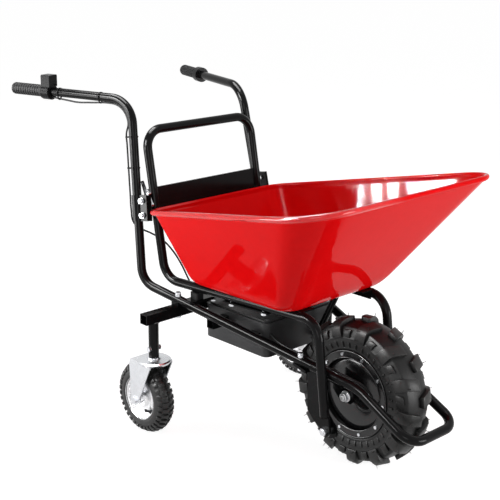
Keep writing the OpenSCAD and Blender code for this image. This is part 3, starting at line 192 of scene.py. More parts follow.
class Shades(Nodes):
    """The node tree of one material."""

    def __init__(self, name: str) -> None:
        """Starts an empty material.

        Args:
            name: Name of the material.
        """
        self.material = bpy.data.materials.new(name)
        self.material.use_nodes = True
        super().__init__(self.material.node_tree)

    def place(self) -> Link:
        """Object coordinates."""
        return self.node("ShaderNodeTexCoord", output="Object")

    def parts(self) -> list[Link]:
        """Object coordinates as three numbers."""
        split = self.node("ShaderNodeSeparateXYZ", None, {"Vector": self.place()})
        return self.outputs(split, ("X", "Y", "Z"))

    def noise(self, scale: float, detail: float, rough: float = 0.5) -> Link:
        """Adds a noise texture.

        Args:
            scale: Waves in a metre.
            detail: Octaves.
            rough: Share of the finer octaves.

        Returns:
            The link of its value.
        """
        sockets = {"Vector": self.place(), "Scale": scale, "Detail": detail, "Roughness": rough}
        return self.node("ShaderNodeTexNoise", None, sockets)

    def cells(self, scale: float) -> Link:
        """Adds a cell texture.

        Args:
            scale: Cells in a metre.

        Returns:
            The link of the distance to a cell's middle.
        """
        sockets = {"Vector": self.place(), "Scale": scale}
        return self.node("ShaderNodeTexVoronoi", {"feature": "F1"}, sockets, "Distance")

    def blend(self, share: Number, first: Triple, second: Triple) -> Link:
        """Mixes two colours.

        Args:
            share: Share of the second colour.
            first: First colour.
            second: Second colour.

        Returns:
            The link of the mixed colour.
        """
        return self.node("ShaderNodeMix", {"data_type": "RGBA"}, {0: share, 6: first, 7: second}, 2)

    def spread(self, value: Link, low: float, high: float) -> Link:
        """Stretches a noise value, which stays near a half, over a range.

        Args:
            value: Link of the noise.
            low: Result at the low end of the noise's range.
            high: Result at its high end.

        Returns:
            The link of the stretched value.
        """
        sockets = {"Value": value, "From Min": NOISE_RANGE[0], "From Max": NOISE_RANGE[1],
                   "To Min": low, "To Max": high}
        return self.node("ShaderNodeMapRange", {"clamp": True}, sockets)

    def surface(self, sockets: dict[str | int, Any]) -> bpy.types.Material:
        """Ends the tree with a Principled shader.

        Args:
            sockets: Values or links of its inputs.

        Returns:
            The finished material.
        """
        shader = self.node("ShaderNodeBsdfPrincipled", None, sockets)
        self.node("ShaderNodeOutputMaterial", None, {"Surface": shader})
        return self.material


def mixed(first: Link, second: Link, share: float) -> Link:
    """Mixes two values, with the share of the first."""
    return first * share + second * (1.0 - share)


@dataclass(frozen=True)
class GrainForm:
    """Depth in metres of a fine relief, its waves in a metre, and pits that may be mixed in."""

    depth: float
    waves: float
    octaves: float
    rough: float = 0.5
    pits: float = 0.0
    pit_share: float = 0.0


class Grain(Enum):
    """Fine relief by how a surface is made: sprayed, spark-eroded mould, moulded rubber, plated or cast."""

    PEEL = GrainForm(0.0006, 260.0, 1.0)
    SPARK = GrainForm(0.0003, 900.0, 2.0, pits=1500.0, pit_share=0.6)
    RUBBER = GrainForm(0.0006, 420.0, 4.0, 0.65, pits=700.0, pit_share=0.3)
    PLATED = GrainForm(0.0002, 500.0, 3.0)
    CAST = GrainForm(0.0005, 340.0, 5.0, 0.7)


@dataclass(frozen=True)
class Finish:
    """One finish: two tones, a range of roughness and a fine relief."""

    name: str
    slot: str
    tone: Triple
    second: Triple
    dull: float
    duller: float
    grain: Grain
    relief: float = 0.1
    metal: float = 0.0
    coat: float = 0.0
    coat_dull: float = 0.05
    shine: float = 0.5
    patch: float = 9.0

    def normal(self, shades: Shades) -> Link:
        """Makes the fine relief.

        Args:
            shades: Tree that the nodes go in.

        Returns:
            The link of the bumped normal.
        """
        form = self.grain.value
        height = shades.noise(form.waves, form.octaves, form.rough)
        if form.pits:
            height = mixed(shades.cells(form.pits), height, form.pit_share)
        sockets = {"Height": height, "Strength": self.relief, "Distance": form.depth}
        return shades.node("ShaderNodeBump", None, sockets)

    def mottle(self, shades: Shades, patches: Link, fine: Link) -> Link:
        """Shares out the two tones."""
        return shades.spread(mixed(patches, fine, PATCH_IN_TONE), 0.0, 1.0)

    def lacquer(self, shades: Shades) -> Number:
        """Sets the weight of the clear coat."""
        return self.coat

    def material(self) -> bpy.types.Material:
        """Builds the material.

        Returns:
            The finished material.
        """
        shades = Shades(self.name)
        patches = shades.noise(self.patch, PATCH_OCTAVES, PATCH_ROUGH)
        fine = shades.noise(self.patch * FINE_TIMES, FINE_OCTAVES)
        return shades.surface({
            "Base Color": shades.blend(self.mottle(shades, patches, fine), self.tone, self.second),
            "Roughness": shades.spread(mixed(patches, fine, PATCH_IN_ROUGHNESS), self.dull, self.duller),
            "Metallic": self.metal,
            "Coat Weight": self.lacquer(shades),
            "Coat Roughness": self.coat_dull,
            "Specular IOR Level": self.shine,
            "Normal": self.normal(shades),
        })


@dataclass(frozen=True)
class LugRubber(Finish):
    """Rubber of the lugged tyre, with painted shade: darker in the grooves, paler on top of the lugs.

    The carcass is a crown arc, given by its middle and size, and a flank arc, given by its middle, how far
    that lies past the middle of the tyre, and its size.
    """

    crown: Pair = (0.078, 0.110)
    flank: Triple = (0.145, 0.027, 0.075)
    steep: float = 60.0
    start: float = 0.1
    unshaded_top_share: float = 0.75

    def mottle(self, shades: Shades, patches: Link, fine: Link) -> Link:
        """Paints shade into the grooves: shares out the two tones by the height above the carcass, whose
        section is two arcs.

        Args:
            shades: Tree that the nodes go in.
            patches: Link of the broad noise.
            fine: Link of the fine noise.

        Returns:
            The link of the paler tone's share.
        """
        x, y, z = shades.parts()
        ahead, up = x - AXLE_X, z - AXLE_Z
        radius = (ahead * ahead + up * up) ** 0.5
        rise, side, out = radius - self.crown[0], radius - self.flank[0], abs(y) + self.flank[1]
        over_crown = (rise * rise + y * y) ** 0.5 - self.crown[1]
        over_flank = (side * side + out * out) ** 0.5 - self.flank[2]
        # Painted shade: the dark tone fills the grooves and the paler tone the lug tops, by height above the
        # carcass.
        top = shades.spread(over_crown.larger(over_flank) * self.steep + self.start, 0.0, self.unshaded_top_share)
        return top + shades.spread(mixed(patches, fine, PATCH_IN_LUGS), 0.0, 1.0 - self.unshaded_top_share)


@dataclass(frozen=True)
class TrayPaint(Finish):
    """Paint of the tray, with a clear coat on the rolled rim, given by its place at the back and its slope."""

    rim_foot: Pair = (AXLE_X - 0.5805, 0.612)
    slope: float = 0.1977
    band: float = 0.017
    fade: Pair = (0.1, 4.0)

    def lacquer(self, shades: Shades) -> Number:
        """Coats the rim alone, fully on the right side and fading to nothing towards the left.

        Args:
            shades: Tree that the nodes go in.

        Returns:
            The link of the coat's weight.
        """
        x, y, z = shades.parts()
        rim = (z - (x - self.rim_foot[0]) * self.slope).above(self.rim_foot[1] - self.band)
        return rim * shades.spread(self.fade[0] - y * self.fade[1], 0.0, self.coat)


FRAME_PAINT = Finish("frame_paint", "frame_black", (0.0040, 0.0040, 0.0043), (0.0075, 0.0075, 0.0078),
                     0.10, 0.17, Grain.PEEL, relief=0.04, shine=0.09)
ZINC = Finish("bright_zinc", "zinc", (0.64, 0.65, 0.67), (0.48, 0.49, 0.51),
              0.16, 0.34, Grain.PLATED, relief=0.12, metal=1.0, patch=40.0)
CABLE_RUBBER = Finish("cable_rubber", "rubber_black", (0.008, 0.008, 0.009), (0.016, 0.016, 0.017),
                      0.32, 0.5, Grain.RUBBER, relief=0.10, shine=0.14)
BOX_PLASTIC = Finish("box_plastic", "box_plastic", (0.016, 0.016, 0.017), (0.028, 0.028, 0.029),
                     0.32, 0.48, Grain.SPARK, relief=0.18, shine=0.25)
GRIP_RUBBER = Finish("grip_rubber", "grip_rubber", (0.020, 0.020, 0.021), (0.042, 0.042, 0.043),
                     0.34, 0.55, Grain.RUBBER, relief=0.2, shine=0.12)
CONTROL_PLASTIC = Finish("control_plastic", "control_plastic", (0.006, 0.006, 0.0065), (0.012, 0.012, 0.013),
                         0.2, 0.34, Grain.SPARK, relief=0.12, shine=0.07)
FACE_PLASTIC = Finish("face_plastic", "face_plastic", (0.62, 0.62, 0.60), (0.50, 0.50, 0.49),
                      0.3, 0.45, Grain.SPARK, relief=0.08)
TRAY_RED = TrayPaint("tray_red", "tray_red", (0.80, 0.0040, 0.0050), (0.73, 0.0030, 0.0040),
                     0.02, 0.035, Grain.PEEL, relief=0.0006, coat=0.8, shine=0.016, patch=3.0)
TYRE_RUBBER = Finish("tyre_rubber", "tyre_black", (0.007, 0.007, 0.007), (0.014, 0.0138, 0.0135),
                     0.28, 0.44, Grain.RUBBER, relief=0.12, shine=0.30)
# Tyre rubber whose dark first tone is painted shade in the grooves, and whose paler second tone goes on the
# lug tops.
LUG_RUBBER = LugRubber("lug_rubber", "tyre_black", (0.0035, 0.0035, 0.0035), (0.022, 0.0217, 0.0213),
                       0.34, 0.5, Grain.RUBBER, relief=0.16, shine=0.22)
# Near-white, half-metal zinc of the axle collars: the real washer and nut, coloured paler than plated zinc as
# a painted highlight.
PAINTED_GLINT_RING = Finish("painted_glint_ring", "zinc", (0.95, 0.95, 0.96), (0.86, 0.86, 0.87),
                     0.10, 0.2, Grain.PLATED, relief=0.04, metal=0.4, patch=40.0)
HUB_PAINT = Finish("hub_paint", "hub_black", (0.0045, 0.0045, 0.0050), (0.010, 0.010, 0.0105),
                   0.14, 0.24, Grain.CAST, relief=0.06, shine=0.40)
RIM_SILVER = Finish("rim_silver", "rim_silver", (0.70, 0.70, 0.71), (0.58, 0.58, 0.59),
                    0.22, 0.36, Grain.CAST, relief=0.06, metal=0.85, patch=25.0)
SLOT_FINISHES = {finish.slot: finish for finish in (
    FRAME_PAINT, ZINC, CABLE_RUBBER, BOX_PLASTIC, GRIP_RUBBER, CONTROL_PLASTIC, FACE_PLASTIC, TRAY_RED,
    TYRE_RUBBER, HUB_PAINT, RIM_SILVER)}


class Wardrobe:
    """The materials, made once each, and the dressing of CAD nodes and new pieces."""

    def __init__(self) -> None:
        """Starts with no material."""
        self.made: dict[str, bpy.types.Material] = {}

    def material(self, finish: Finish) -> bpy.types.Material:
        """Makes a finish's material when it is first asked for.

        Args:
            finish: The finish.

        Returns:
            Its material.
        """
        if finish.name not in self.made:
            self.made[finish.name] = finish.material()
        return self.made[finish.name]

    def dress_nodes(self, nodes: dict[str, bpy.types.Object], record: dict[str, Any]) -> None:
        """Gives each CAD node the material of its slot.

        Args:
            nodes: The CAD nodes by name.
            record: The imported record.
        """
        slots = {row["node"]: row["material_slot"] for row in record["subparts"]}
        for name, node in nodes.items():
            node.data.materials.clear()
            node.data.materials.append(self.material(SLOT_FINISHES[slots[name]]))

    def piece(self, mesh: bmesh.types.BMesh, name: str, body: str, finish: Finish,
              stands_for: Sequence[str] = (), crease: float = 38.0) -> bpy.types.Object:
        """Turns a finished mesh into a piece that rides on a body.

        Args:
            mesh: The mesh, which is freed.
            name: Name of the piece.
            body: The CAD body that carries it.
            finish: Its finish, whose material it gets.
            stands_for: CAD nodes that it replaces.
            crease: Angle in degrees above which an edge stays sharp.

        Returns:
            The new object.
        """
        data = bpy.data.meshes.new(name)
        mesh.to_mesh(data)
        mesh.free()
        data.polygons.foreach_set("use_smooth", [True] * len(data.polygons))
        data.set_sharp_from_angle(angle=math.radians(crease))
        data.materials.append(self.material(finish))
        made = bpy.data.objects.new(name, data)
        bpy.context.scene.collection.objects.link(made)
        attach(made, body)
        if stands_for:
            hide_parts(*stands_for)
        LOG.info("%s: %d faces on %s", name, len(data.polygons), body)
        return made


def closed(mesh: bmesh.types.BMesh) -> bmesh.types.BMesh:
    """Merges doubles and turns all faces outwards.

    Args:
        mesh: The mesh.

    Returns:
        The same mesh.
    """
    bmesh.ops.remove_doubles(mesh, verts=mesh.verts[:], dist=MERGE)
    bmesh.ops.recalc_face_normals(mesh, faces=mesh.faces[:])
    return mesh


def from_axle(x: float, y: float, z: float) -> Vector:
    """Turns millimetres behind or ahead of the drive axle into a place in the frame."""
    return Vector((AXLE_X + x * MM, y * MM, z * MM))


def revolve(mesh: bmesh.types.BMesh, profile: Profile, centre: Vector, axis: Vector, steps: int,
            ring: bool = True) -> None:
    """Spins a profile about an axis.

    Args:
        mesh: Mesh that it goes in.
        profile: Radius and offset along the axis of each point, in millimetres.
        centre: A point on the axis.
        axis: Direction of the axis.
        steps: Facets around.
        ring: Whether the profile's last point joins its first.
    """
    out = axis.orthogonal().normalized()
    verts = [mesh.verts.new(centre + (out * radius + axis * along) * MM) for radius, along in profile]
    pairs = list(zip(verts, verts[1:])) + ([(verts[-1], verts[0])] if ring else [])
    edges = [mesh.edges.new(pair) for pair in pairs]
    bmesh.ops.spin(mesh, geom=verts + edges, cent=centre, axis=axis, dvec=(0, 0, 0), angle=math.tau,
                   steps=steps, use_merge=True)


def round_section(large: float, small: float, along: float, facets: int = 10) -> list[Pair]:
    """Draws a round section for a ring.

    Args:
        large: Radius of the ring.
        small: Radius of its section.
        along: Offset of the ring along the axis.
        facets: Points around the section.

    Returns:
        Radius and offset of each point.
    """
    turns = [math.tau * i / facets for i in range(facets)]
    return [(large + small * math.cos(turn), along + small * math.sin(turn)) for turn in turns]


def weld(mesh: bmesh.types.BMesh, places: Sequence[Vector], size: float) -> None:
    """Lays a weld as a row of small overlapping lumps.

    Args:
        mesh: Mesh that it goes in.
        places: Middles of the lumps.
        size: Radius of a lump in millimetres.
    """
    for place in places:
        bmesh.ops.create_icosphere(mesh, subdivisions=1, radius=size * MM, matrix=Matrix.Translation(place))


def circle_places(centre: Vector, axis: Vector, radius: float, count: int) -> list[Vector]:
    """Places points evenly on a circle, its radius in millimetres."""
    out = axis.orthogonal().normalized() * (radius * MM)
    return [centre + Matrix.Rotation(math.tau * i / count, 3, axis) @ out for i in range(count)]


def line_places(start: Vector, end: Vector, count: int) -> list[Vector]:
    """Places points evenly on a line."""
    return [start.lerp(end, i / (count - 1)) for i in range(count)]


@dataclass
class Tray:
    """Pressed tray with a rolled rim, as one smooth sheet; millimetres from the drive axle.

    Floor and rim are given by back, front, half width at the back and half width at the front, and pairs are
    for the back and the front.
    """

    wardrobe: Wardrobe
    floor: tuple[float, float, float, float] = (-462.0, -95.0, 200.0, 190.0)
    rim: tuple[float, float, float, float] = (-580.5, 148.0, 238.0, 372.0)
    floor_radii: Pair = (35.0, 45.0)
    rim_radii: Pair = (50.0, 110.0)
    floor_z: float = 424.6
    rim_z: Pair = (612.0, 756.0)
    inset: float = 17.0
    fillet: float = 0.14
    roll: float = 7.5
    tuck: float = 5.0
    sheet: float = 2.0
    arc: int = 14
    straight: int = 9
    fillet_steps: tuple[float, ...] = (0.0, 0.15, 0.3, 0.45, 0.6, 0.75, 0.9, 1.0)
    wall_steps: tuple[float, ...] = (0.16, 0.3, 0.5, 0.7, 0.86, 0.96, 0.99, 1.0)
    roll_turns: range = range(180, -120, -20)
    crease: float = 50.0

    def plan(self, sides: tuple[float, float, float, float], radii: Pair, grow: float) -> list[Vector]:
        """Draws a rounded trapezoid in plan.

        Args:
            sides: Back, front, half width at the back and at the front.
            radii: Corner radii at the back and at the front.
            grow: How far it stands outside those sides.

        Returns:
            Its points.
        """
        back, front, rear, fore = sides[0] - grow, sides[1] + grow, sides[2] + grow, sides[3] + grow
        turns = [Vector((back, -rear)), Vector((front, -fore)), Vector((front, fore)), Vector((back, rear))]
        arcs = []
        for i, (turn, radius) in enumerate(zip(turns, (*radii, *reversed(radii)))):
            before, after = (turns[i - 1] - turn).normalized(), (turns[(i + 1) % 4] - turn).normalized()
            half = before.angle(after) / 2.0
            middle = turn + (before + after).normalized() * radius / math.sin(half)
            start = turn + before * radius / math.tan(half) - middle
            end = turn + after * radius / math.tan(half) - middle
            sweep = start.angle(end)
            shares = [k / self.arc for k in range(self.arc + 1)]
            arcs.append([middle + (start * math.sin(sweep * (1 - share)) + end * math.sin(sweep * share))
                         / math.sin(sweep) for share in shares])
        points = []
        for arc, following in zip(arcs, arcs[1:] + arcs[:1]):
            points += arc
            points += [arc[-1].lerp(following[0], k / self.straight) for k in range(1, self.straight)]
        return points

    def floor_ring(self, grow: float) -> list[Vector]:
        """Draws the floor's outline at its height."""
        return [Vector((p.x, p.y, self.floor_z)) for p in self.plan(self.floor, self.floor_radii, grow)]

    def rim_ring(self, grow: float, lift: float) -> list[Vector]:
        """Draws an outline along the sloping rim.

        Args:
            grow: How far it stands outside the rim's sides.
            lift: How far it stands above the rim's top.

        Returns:
            Its points.
        """
        back, front = self.rim[:2]
        low, high = self.rim_z
        flat = self.plan(self.rim, (self.rim_radii[0] + grow, self.rim_radii[1] + grow), grow)
        return [Vector((p.x, p.y, low + (high - low) * (p.x - back) / (front - back) + lift)) for p in flat]

    def rings(self) -> list[list[Vector]]:
        """Lists the rings of the inner face from the floor to the end of the roll.

        Returns:
            The rings, with as many points each.
        """
        inner, edge = self.floor_ring(-self.inset), self.floor_ring(0.0)
        top = self.rim_ring(-self.tuck, -2 * self.roll)
        foot = [a.lerp(b, self.fillet) for a, b in zip(edge, top)]
        rings = [[a.lerp(b, share).lerp(b.lerp(c, share), share) for a, b, c in zip(inner, edge, foot)]
                 for share in self.fillet_steps]
        rings += [[a.lerp(b, share) for a, b in zip(edge, top)] for share in self.wall_steps]
        for turn in self.roll_turns:
            angle = math.radians(turn)
            grow = self.roll * (1 + math.cos(angle)) - self.tuck
            rings.append(self.rim_ring(grow, self.roll * (math.sin(angle) - 1)))
        return rings

    def build(self) -> bpy.types.Object:
        """Draws the floor's edge, pulls it up ring by ring and gives the sheet its thickness.

        Returns:
            The finished sheet.
        """
        mesh = bmesh.new()
        rings = self.rings()
        ring = bmesh.ops.create_circle(mesh, segments=len(rings[0]), radius=1.0)["verts"]
        ring.sort(key=lambda v: math.atan2(v.co.y, v.co.x))
        edges = mesh.edges[:]
        for vert, place in zip(ring, rings[0]):
            vert.co = from_axle(*place)
        bmesh.ops.contextual_create(mesh, geom=edges)
        for places in rings[1:]:
            order = {vert: i for i, vert in enumerate(ring)}
            grown = bmesh.ops.extrude_edge_only(mesh, edges=edges)["geom"]
            fresh = [g for g in grown if isinstance(g, bmesh.types.BMVert)]
            ring = [None] * len(order)
            for vert in fresh:
                below = next(e.other_vert(vert) for e in vert.link_edges if e.other_vert(vert) in order)
                ring[order[below]] = vert
                vert.co = from_axle(*places[order[below]])
            made = set(fresh)
            lines = [g for g in grown if isinstance(g, bmesh.types.BMEdge)]
            edges = [line for line in lines if all(v in made for v in line.verts)]
        bmesh.ops.recalc_face_normals(mesh, faces=mesh.faces[:])
        floor = max(mesh.faces, key=lambda f: f.calc_area())
        if floor.normal.z < 0.0:
            bmesh.ops.reverse_faces(mesh, faces=mesh.faces[:])
        bmesh.ops.solidify(mesh, geom=mesh.faces[:], thickness=self.sheet * MM)
        return self.wardrobe.piece(mesh, "tray_sheet", "tray", TRAY_RED, ("tray_shell",), self.crease)


@dataclass
class TyreSection:
    """Outline of half a tyre as an even table of points along its arc, from the crown to the bead.

    Each arc is given by its middle's radius and offset, its size, and its first and last angle in degrees.
    """

    arcs: Sequence[tuple[float, float, float, float, float]]
    step: float = 1.0
    soften: int = 8
    spacing: float = 2.0
    table: list[tuple[Vector, Vector]] = field(default_factory=list)

    def __post_init__(self) -> None:
        """Walks the arcs, softens their joins and keeps points with their normals."""
        raw = []
        for radius, along, size, start, end in self.arcs:
            count = max(2, int(abs(math.radians(end - start)) * size / self.step))
            for i in range(count):
                angle = math.radians(start + (end - start) * i / count)
                raw.append(Vector((radius + size * math.cos(angle), along + size * math.sin(angle))))
        for _ in range(self.soften):
            inside = [(a + b * 2 + c) / 4 for a, b, c in zip(raw, raw[1:], raw[2:])]
            raw = [raw[0], *inside, raw[-1]]
        for i, point in enumerate(raw):
            way = (raw[min(i + 1, len(raw) - 1)] - raw[max(i - 1, 0)]).normalized()
            self.table.append((point, Vector((way.y, -way.x))))

    def at(self, arc: float) -> tuple[Vector, Vector]:
        """Finds a place on the outline.

        Args:
            arc: Distance along the arc.

        Returns:
            The point and its normal.
        """
        place = min(max(arc / self.step, 0.0), len(self.table) - 1.001)
        low, share = int(place), place - int(place)
        (a, n), (b, m) = self.table[low], self.table[low + 1]
        return a.lerp(b, share), n.lerp(m, share).normalized()

    def outline(self, lines: Sequence[Triple], inner: Profile) -> list[Pair]:
        """Draws the whole section as a closed ring, with moulded lines on its sides.

        Args:
            lines: Arc, height and width of each moulded line.
            inner: Inside of one half, from the bead to the middle.

        Returns:
            Radius and offset of each point.
        """
        half = []
        for i, (point, normal) in enumerate(self.table[::round(self.spacing / self.step)]):
            place = i * self.spacing
            raised = sum(tall * math.exp(-(((place - arc) / wide) ** 2)) for arc, tall, wide in lines)
            half.append(point + normal * raised)
        outer = [(p.x, -p.y) for p in reversed(half[1:])] + [(p.x, p.y) for p in half]
        return outer + list(inner) + [(radius, -along) for radius, along in reversed(inner[:-1])]


@dataclass
class Tread:
    """Blocks moulded on a tyre: one bevelled block wrapped on the section and repeated around.

    Reach and shoulder are distances along the section's arc; past the shoulder a block runs straight and gets
    lower.
    """

    section: TyreSection
    centre: Vector
    count: int
    width: float
    reach: Pair
    height: float
    end_height: float
    shoulder: float
    lean: float = 0.0
    start: float = GROUND_TURN
    flare: float = 0.0
    cuts: int = 9
    soft: float = 1.5
    sink: float = 2.0

    def block(self, mesh: bmesh.types.BMesh) -> list[bmesh.types.BMVert]:
        """Makes one bevelled block that is still flat: x around, y along the section, z out.

        Args:
            mesh: Empty mesh that it goes in.

        Returns:
            Its points.
        """
        made = bmesh.ops.create_cube(mesh, size=1.0)["verts"]
        length, tall = self.reach[1] - self.reach[0], self.height + self.sink
        bmesh.ops.scale(mesh, vec=(self.width, length, tall), verts=made)
        bmesh.ops.translate(mesh, vec=(0.0, sum(self.reach) / 2, tall / 2 - self.sink), verts=made)
        upper = [e for e in mesh.edges if all(v.co.z > 0.0 for v in e.verts)]
        upright = [e for e in mesh.edges if e.verts[0].co.z * e.verts[1].co.z < 0.0]
        bmesh.ops.bevel(mesh, geom=upper + upright, offset=self.soft, offset_type="OFFSET", affect="EDGES",
                        segments=2, profile=0.5, material=-1)
        long = [e for e in mesh.edges if abs(e.verts[0].co.y - e.verts[1].co.y) > length / 2]
        bmesh.ops.subdivide_edges(mesh, edges=long, cuts=self.cuts, use_grid_fill=True)
        return mesh.verts[:]

    def wrap(self, vert: bmesh.types.BMVert, side: float, turn: float) -> Vector:
        """Bends a point of the flat block on to the tyre.

        Args:
            vert: The point.
            side: -1 for the right half, 1 for the left.
            turn: Angle of the block around the axle.

        Returns:
            Its place in the frame.
        """
        across, arc, out = vert.co
        point, normal = self.section.at(arc)
        past = max(0.0, arc - self.shoulder) / max(MERGE, self.reach[1] - self.shoulder)
        tall = self.height + (self.end_height - self.height) * past
        lift = out * tall / self.height if out > 0.0 else out
        radius, along = point.x + normal.x * lift, point.y + normal.y * lift
        wide = across * (1 + self.flare * arc / self.reach[1])
        angle = turn + (wide - math.tan(self.lean) * min(arc, self.shoulder)) / point.x
        spoke = Vector((math.cos(angle), 0.0, math.sin(angle))) * radius
        return self.centre + (spoke + ACROSS * side * along) * MM

    def turns(self) -> list[Pair]:
        """Lists each block's side and angle."""
        return [(side, self.start + math.tau * (i + offset) / self.count)
                for side, offset in TYRE_HALVES for i in range(self.count)]

    def build(self, mesh: bmesh.types.BMesh) -> None:
        """Adds all blocks of both halves.

        Args:
            mesh: Mesh that they go in.
        """
        for side, turn in self.turns():
            one = bmesh.new()
            for vert in self.block(one):
                vert.co = self.wrap(vert, side, turn)
            bmesh.ops.recalc_face_normals(one, faces=one.faces[:])
            kept = bpy.data.meshes.new("block")
            one.to_mesh(kept)
            one.free()
            mesh.from_mesh(kept)
            bpy.data.meshes.remove(kept)


@dataclass
class DriveWheel:
    """Lugged tyre, smooth motor covers and axle collars of the driven wheel; millimetres.

    Profiles are radius and offset along the axle. A hair is placed by its distance across the lug and along
    the section's arc, and has a length.
    """

    wardrobe: Wardrobe
    centre: Vector = field(default_factory=lambda: Vector((AXLE_X, 0.0, AXLE_Z)))
    lugs: int = 13
    lug_lean: float = math.radians(-18.0)
    ribs_per_lug: int = 3
    tyre_arcs: tuple[tuple[float, float, float, float, float], ...] = (
        (78.0, 0.0, 110.0, 0.0, 20.7), (145.0, -27.0, 75.0, 61.4, 123.1))
    tyre_inside: Profile = ((108.0, 27.0), (150.0, 36.0), (176.0, 26.0), (180.0, 0.0))
    tyre_lines: tuple[Triple, ...] = (
        (117.0, 1.6, 2.2), (109.0, 1.2, 2.0), (99.0, 1.5, 3.0), (70.0, 0.8, 2.5))
    tyre_steps: int = 144
    hairs_at: tuple[Triple, ...] = ((-9.0, 36.0, 11.0), (9.0, 44.0, 13.0), (7.0, 66.0, 10.0))
    hair_radii: Pair = (1.0, 0.5)
    hair_flare: float = 1.1
    hair_rise: float = 3.0
    hair_sink: float = 1.0
    hair_bend: float = 2.0
    hair_ground: float = 6.0
    dome: Profile = (
        (7.05, 24.0), (97.0, 24.0), (97.0, 31.0), (96.0, 32.4), (93.0, 33.2), (91.5, 34.4), (86.0, 35.6),
        (76.0, 37.2), (64.0, 38.6), (50.0, 39.7), (38.0, 40.3), (30.0, 40.6), (27.5, 41.2), (26.0, 41.8),
        (24.0, 42.0), (7.05, 42.0))
    dome_steps: int = 128
    lips: tuple[tuple[float, float, float, int], ...] = ((116.0, 2.6, 45.4, 10), (98.2, 1.4, 45.6, 8))
    collars: tuple[Triple, ...] = ((13.0, 2.2, 66.4), (9.2, 2.0, 76.4))
    collar_steps: int = 48
    axle_end: Profile = ((0.01, 80.9), (6.9, 80.9), (6.2, 81.9), (4.6, 82.5), (0.01, 82.7))
    axle_steps: int = 32

    def hairs(self, mesh: bmesh.types.BMesh, tread: Tread) -> None:
        """Adds the moulding hairs that stand on the lugs' outer corners, apart from those by the ground.

        Args:
            mesh: Mesh that they go in.
            tread: The lugs.
        """
        for side, turn in tread.turns():
            for across, arc, reach in self.hairs_at:
                point, normal = tread.section.at(arc)
                shift = across * self.hair_flare - math.tan(tread.lean) * min(arc, tread.shoulder)
                angle = turn + shift / point.x
                spoke = Vector((math.cos(angle), 0.0, math.sin(angle)))
                way = (spoke * normal.x + ACROSS * side * normal.y).normalized()
                tall = tread.height if arc < tread.shoulder else tread.end_height + self.hair_rise
                skin = spoke * point.x + ACROSS * side * point.y
                foot = self.centre + (skin + way * (tall - self.hair_sink)) * MM
                tip = foot + (way * reach + UP.cross(way) * self.hair_bend) * MM
                if tip.z < self.hair_ground * MM:
                    continue
                aim = (tip - foot).to_track_quat("Z", "Y").to_matrix().to_4x4()
                bmesh.ops.create_cone(mesh, cap_ends=True, segments=5, radius1=self.hair_radii[0] * MM,
                                      radius2=self.hair_radii[1] * MM, depth=(tip - foot).length,
                                      matrix=Matrix.Translation(foot.lerp(tip, 0.5)) @ aim)

    def tyre(self) -> None:
        """Builds the carcass with its lugs, the blocks between them, the bead ribs and the hairs."""
        section = TyreSection(self.tyre_arcs)
        outline = section.outline(self.tyre_lines, self.tyre_inside)
        mesh = bmesh.new()
        revolve(mesh, outline, self.centre, ACROSS, self.tyre_steps)
        closed(mesh)
        lugs = Tread(section, self.centre, self.lugs, width=28.0, reach=(1.5, 70.0), height=12.0,
                     end_height=4.5, shoulder=40.0, lean=self.lug_lean, flare=0.15)
        between = Tread(section, self.centre, self.lugs, width=20.0, reach=(47.0, 68.0), height=6.0,
                        end_height=3.5, shoulder=56.0, lean=self.lug_lean,
                        start=GROUND_TURN + math.pi / self.lugs, cuts=4)
        ribs = Tread(section, self.centre, self.lugs * self.ribs_per_lug, width=6.0, reach=(80.0, 95.0),
                     height=2.6, end_height=1.8, shoulder=88.0, cuts=4, soft=0.8)
        for tread in (lugs, between, ribs):
            tread.build(mesh)
        self.hairs(mesh, lugs)
        self.wardrobe.piece(mesh, "tyre_carcass", "drive_wheel", LUG_RUBBER, ("drive_tyre",), crease=34.0)

    def cover(self, name: str, axis: Vector) -> None:
        """Builds the domed cover of the motor and the rim's lips on one side.

        Args:
            name: Name of that side.
            axis: The way that the side faces.
        """
        cover, lips = bmesh.new(), bmesh.new()
        revolve(cover, self.dome, self.centre, axis, self.dome_steps)
        self.wardrobe.piece(closed(cover), "motor_cover_" + name, "drive_wheel", HUB_PAINT,
                            ("hub_cover_" + name,), crease=40.0)
        for row in self.lips:
            revolve(lips, round_section(*row), self.centre, axis, self.dome_steps)
        self.wardrobe.piece(closed(lips), "rim_lips_" + name, "drive_wheel", HUB_PAINT)

    def collar(self, name: str, axis: Vector) -> None:
        """Rounds the bright zinc washer and nut on one end of the fixed axle; their near-white colour is
        partly a painted highlight.

        Args:
            name: Name of that side.
            axis: The way that the side faces.
        """
        mesh = bmesh.new()
        for row in self.collars:
            revolve(mesh, round_section(*row), self.centre, axis, self.collar_steps)
        revolve(mesh, self.axle_end, self.centre, axis, self.axle_steps, ring=False)
        self.wardrobe.piece(closed(mesh), "axle_collar_" + name, "chassis", PAINTED_GLINT_RING)

    def build(self) -> None:
        """Builds the whole wheel."""
        self.tyre()
        for name, side in SIDES:
            self.cover(name, ACROSS * side)
            self.collar(name, ACROSS * side)


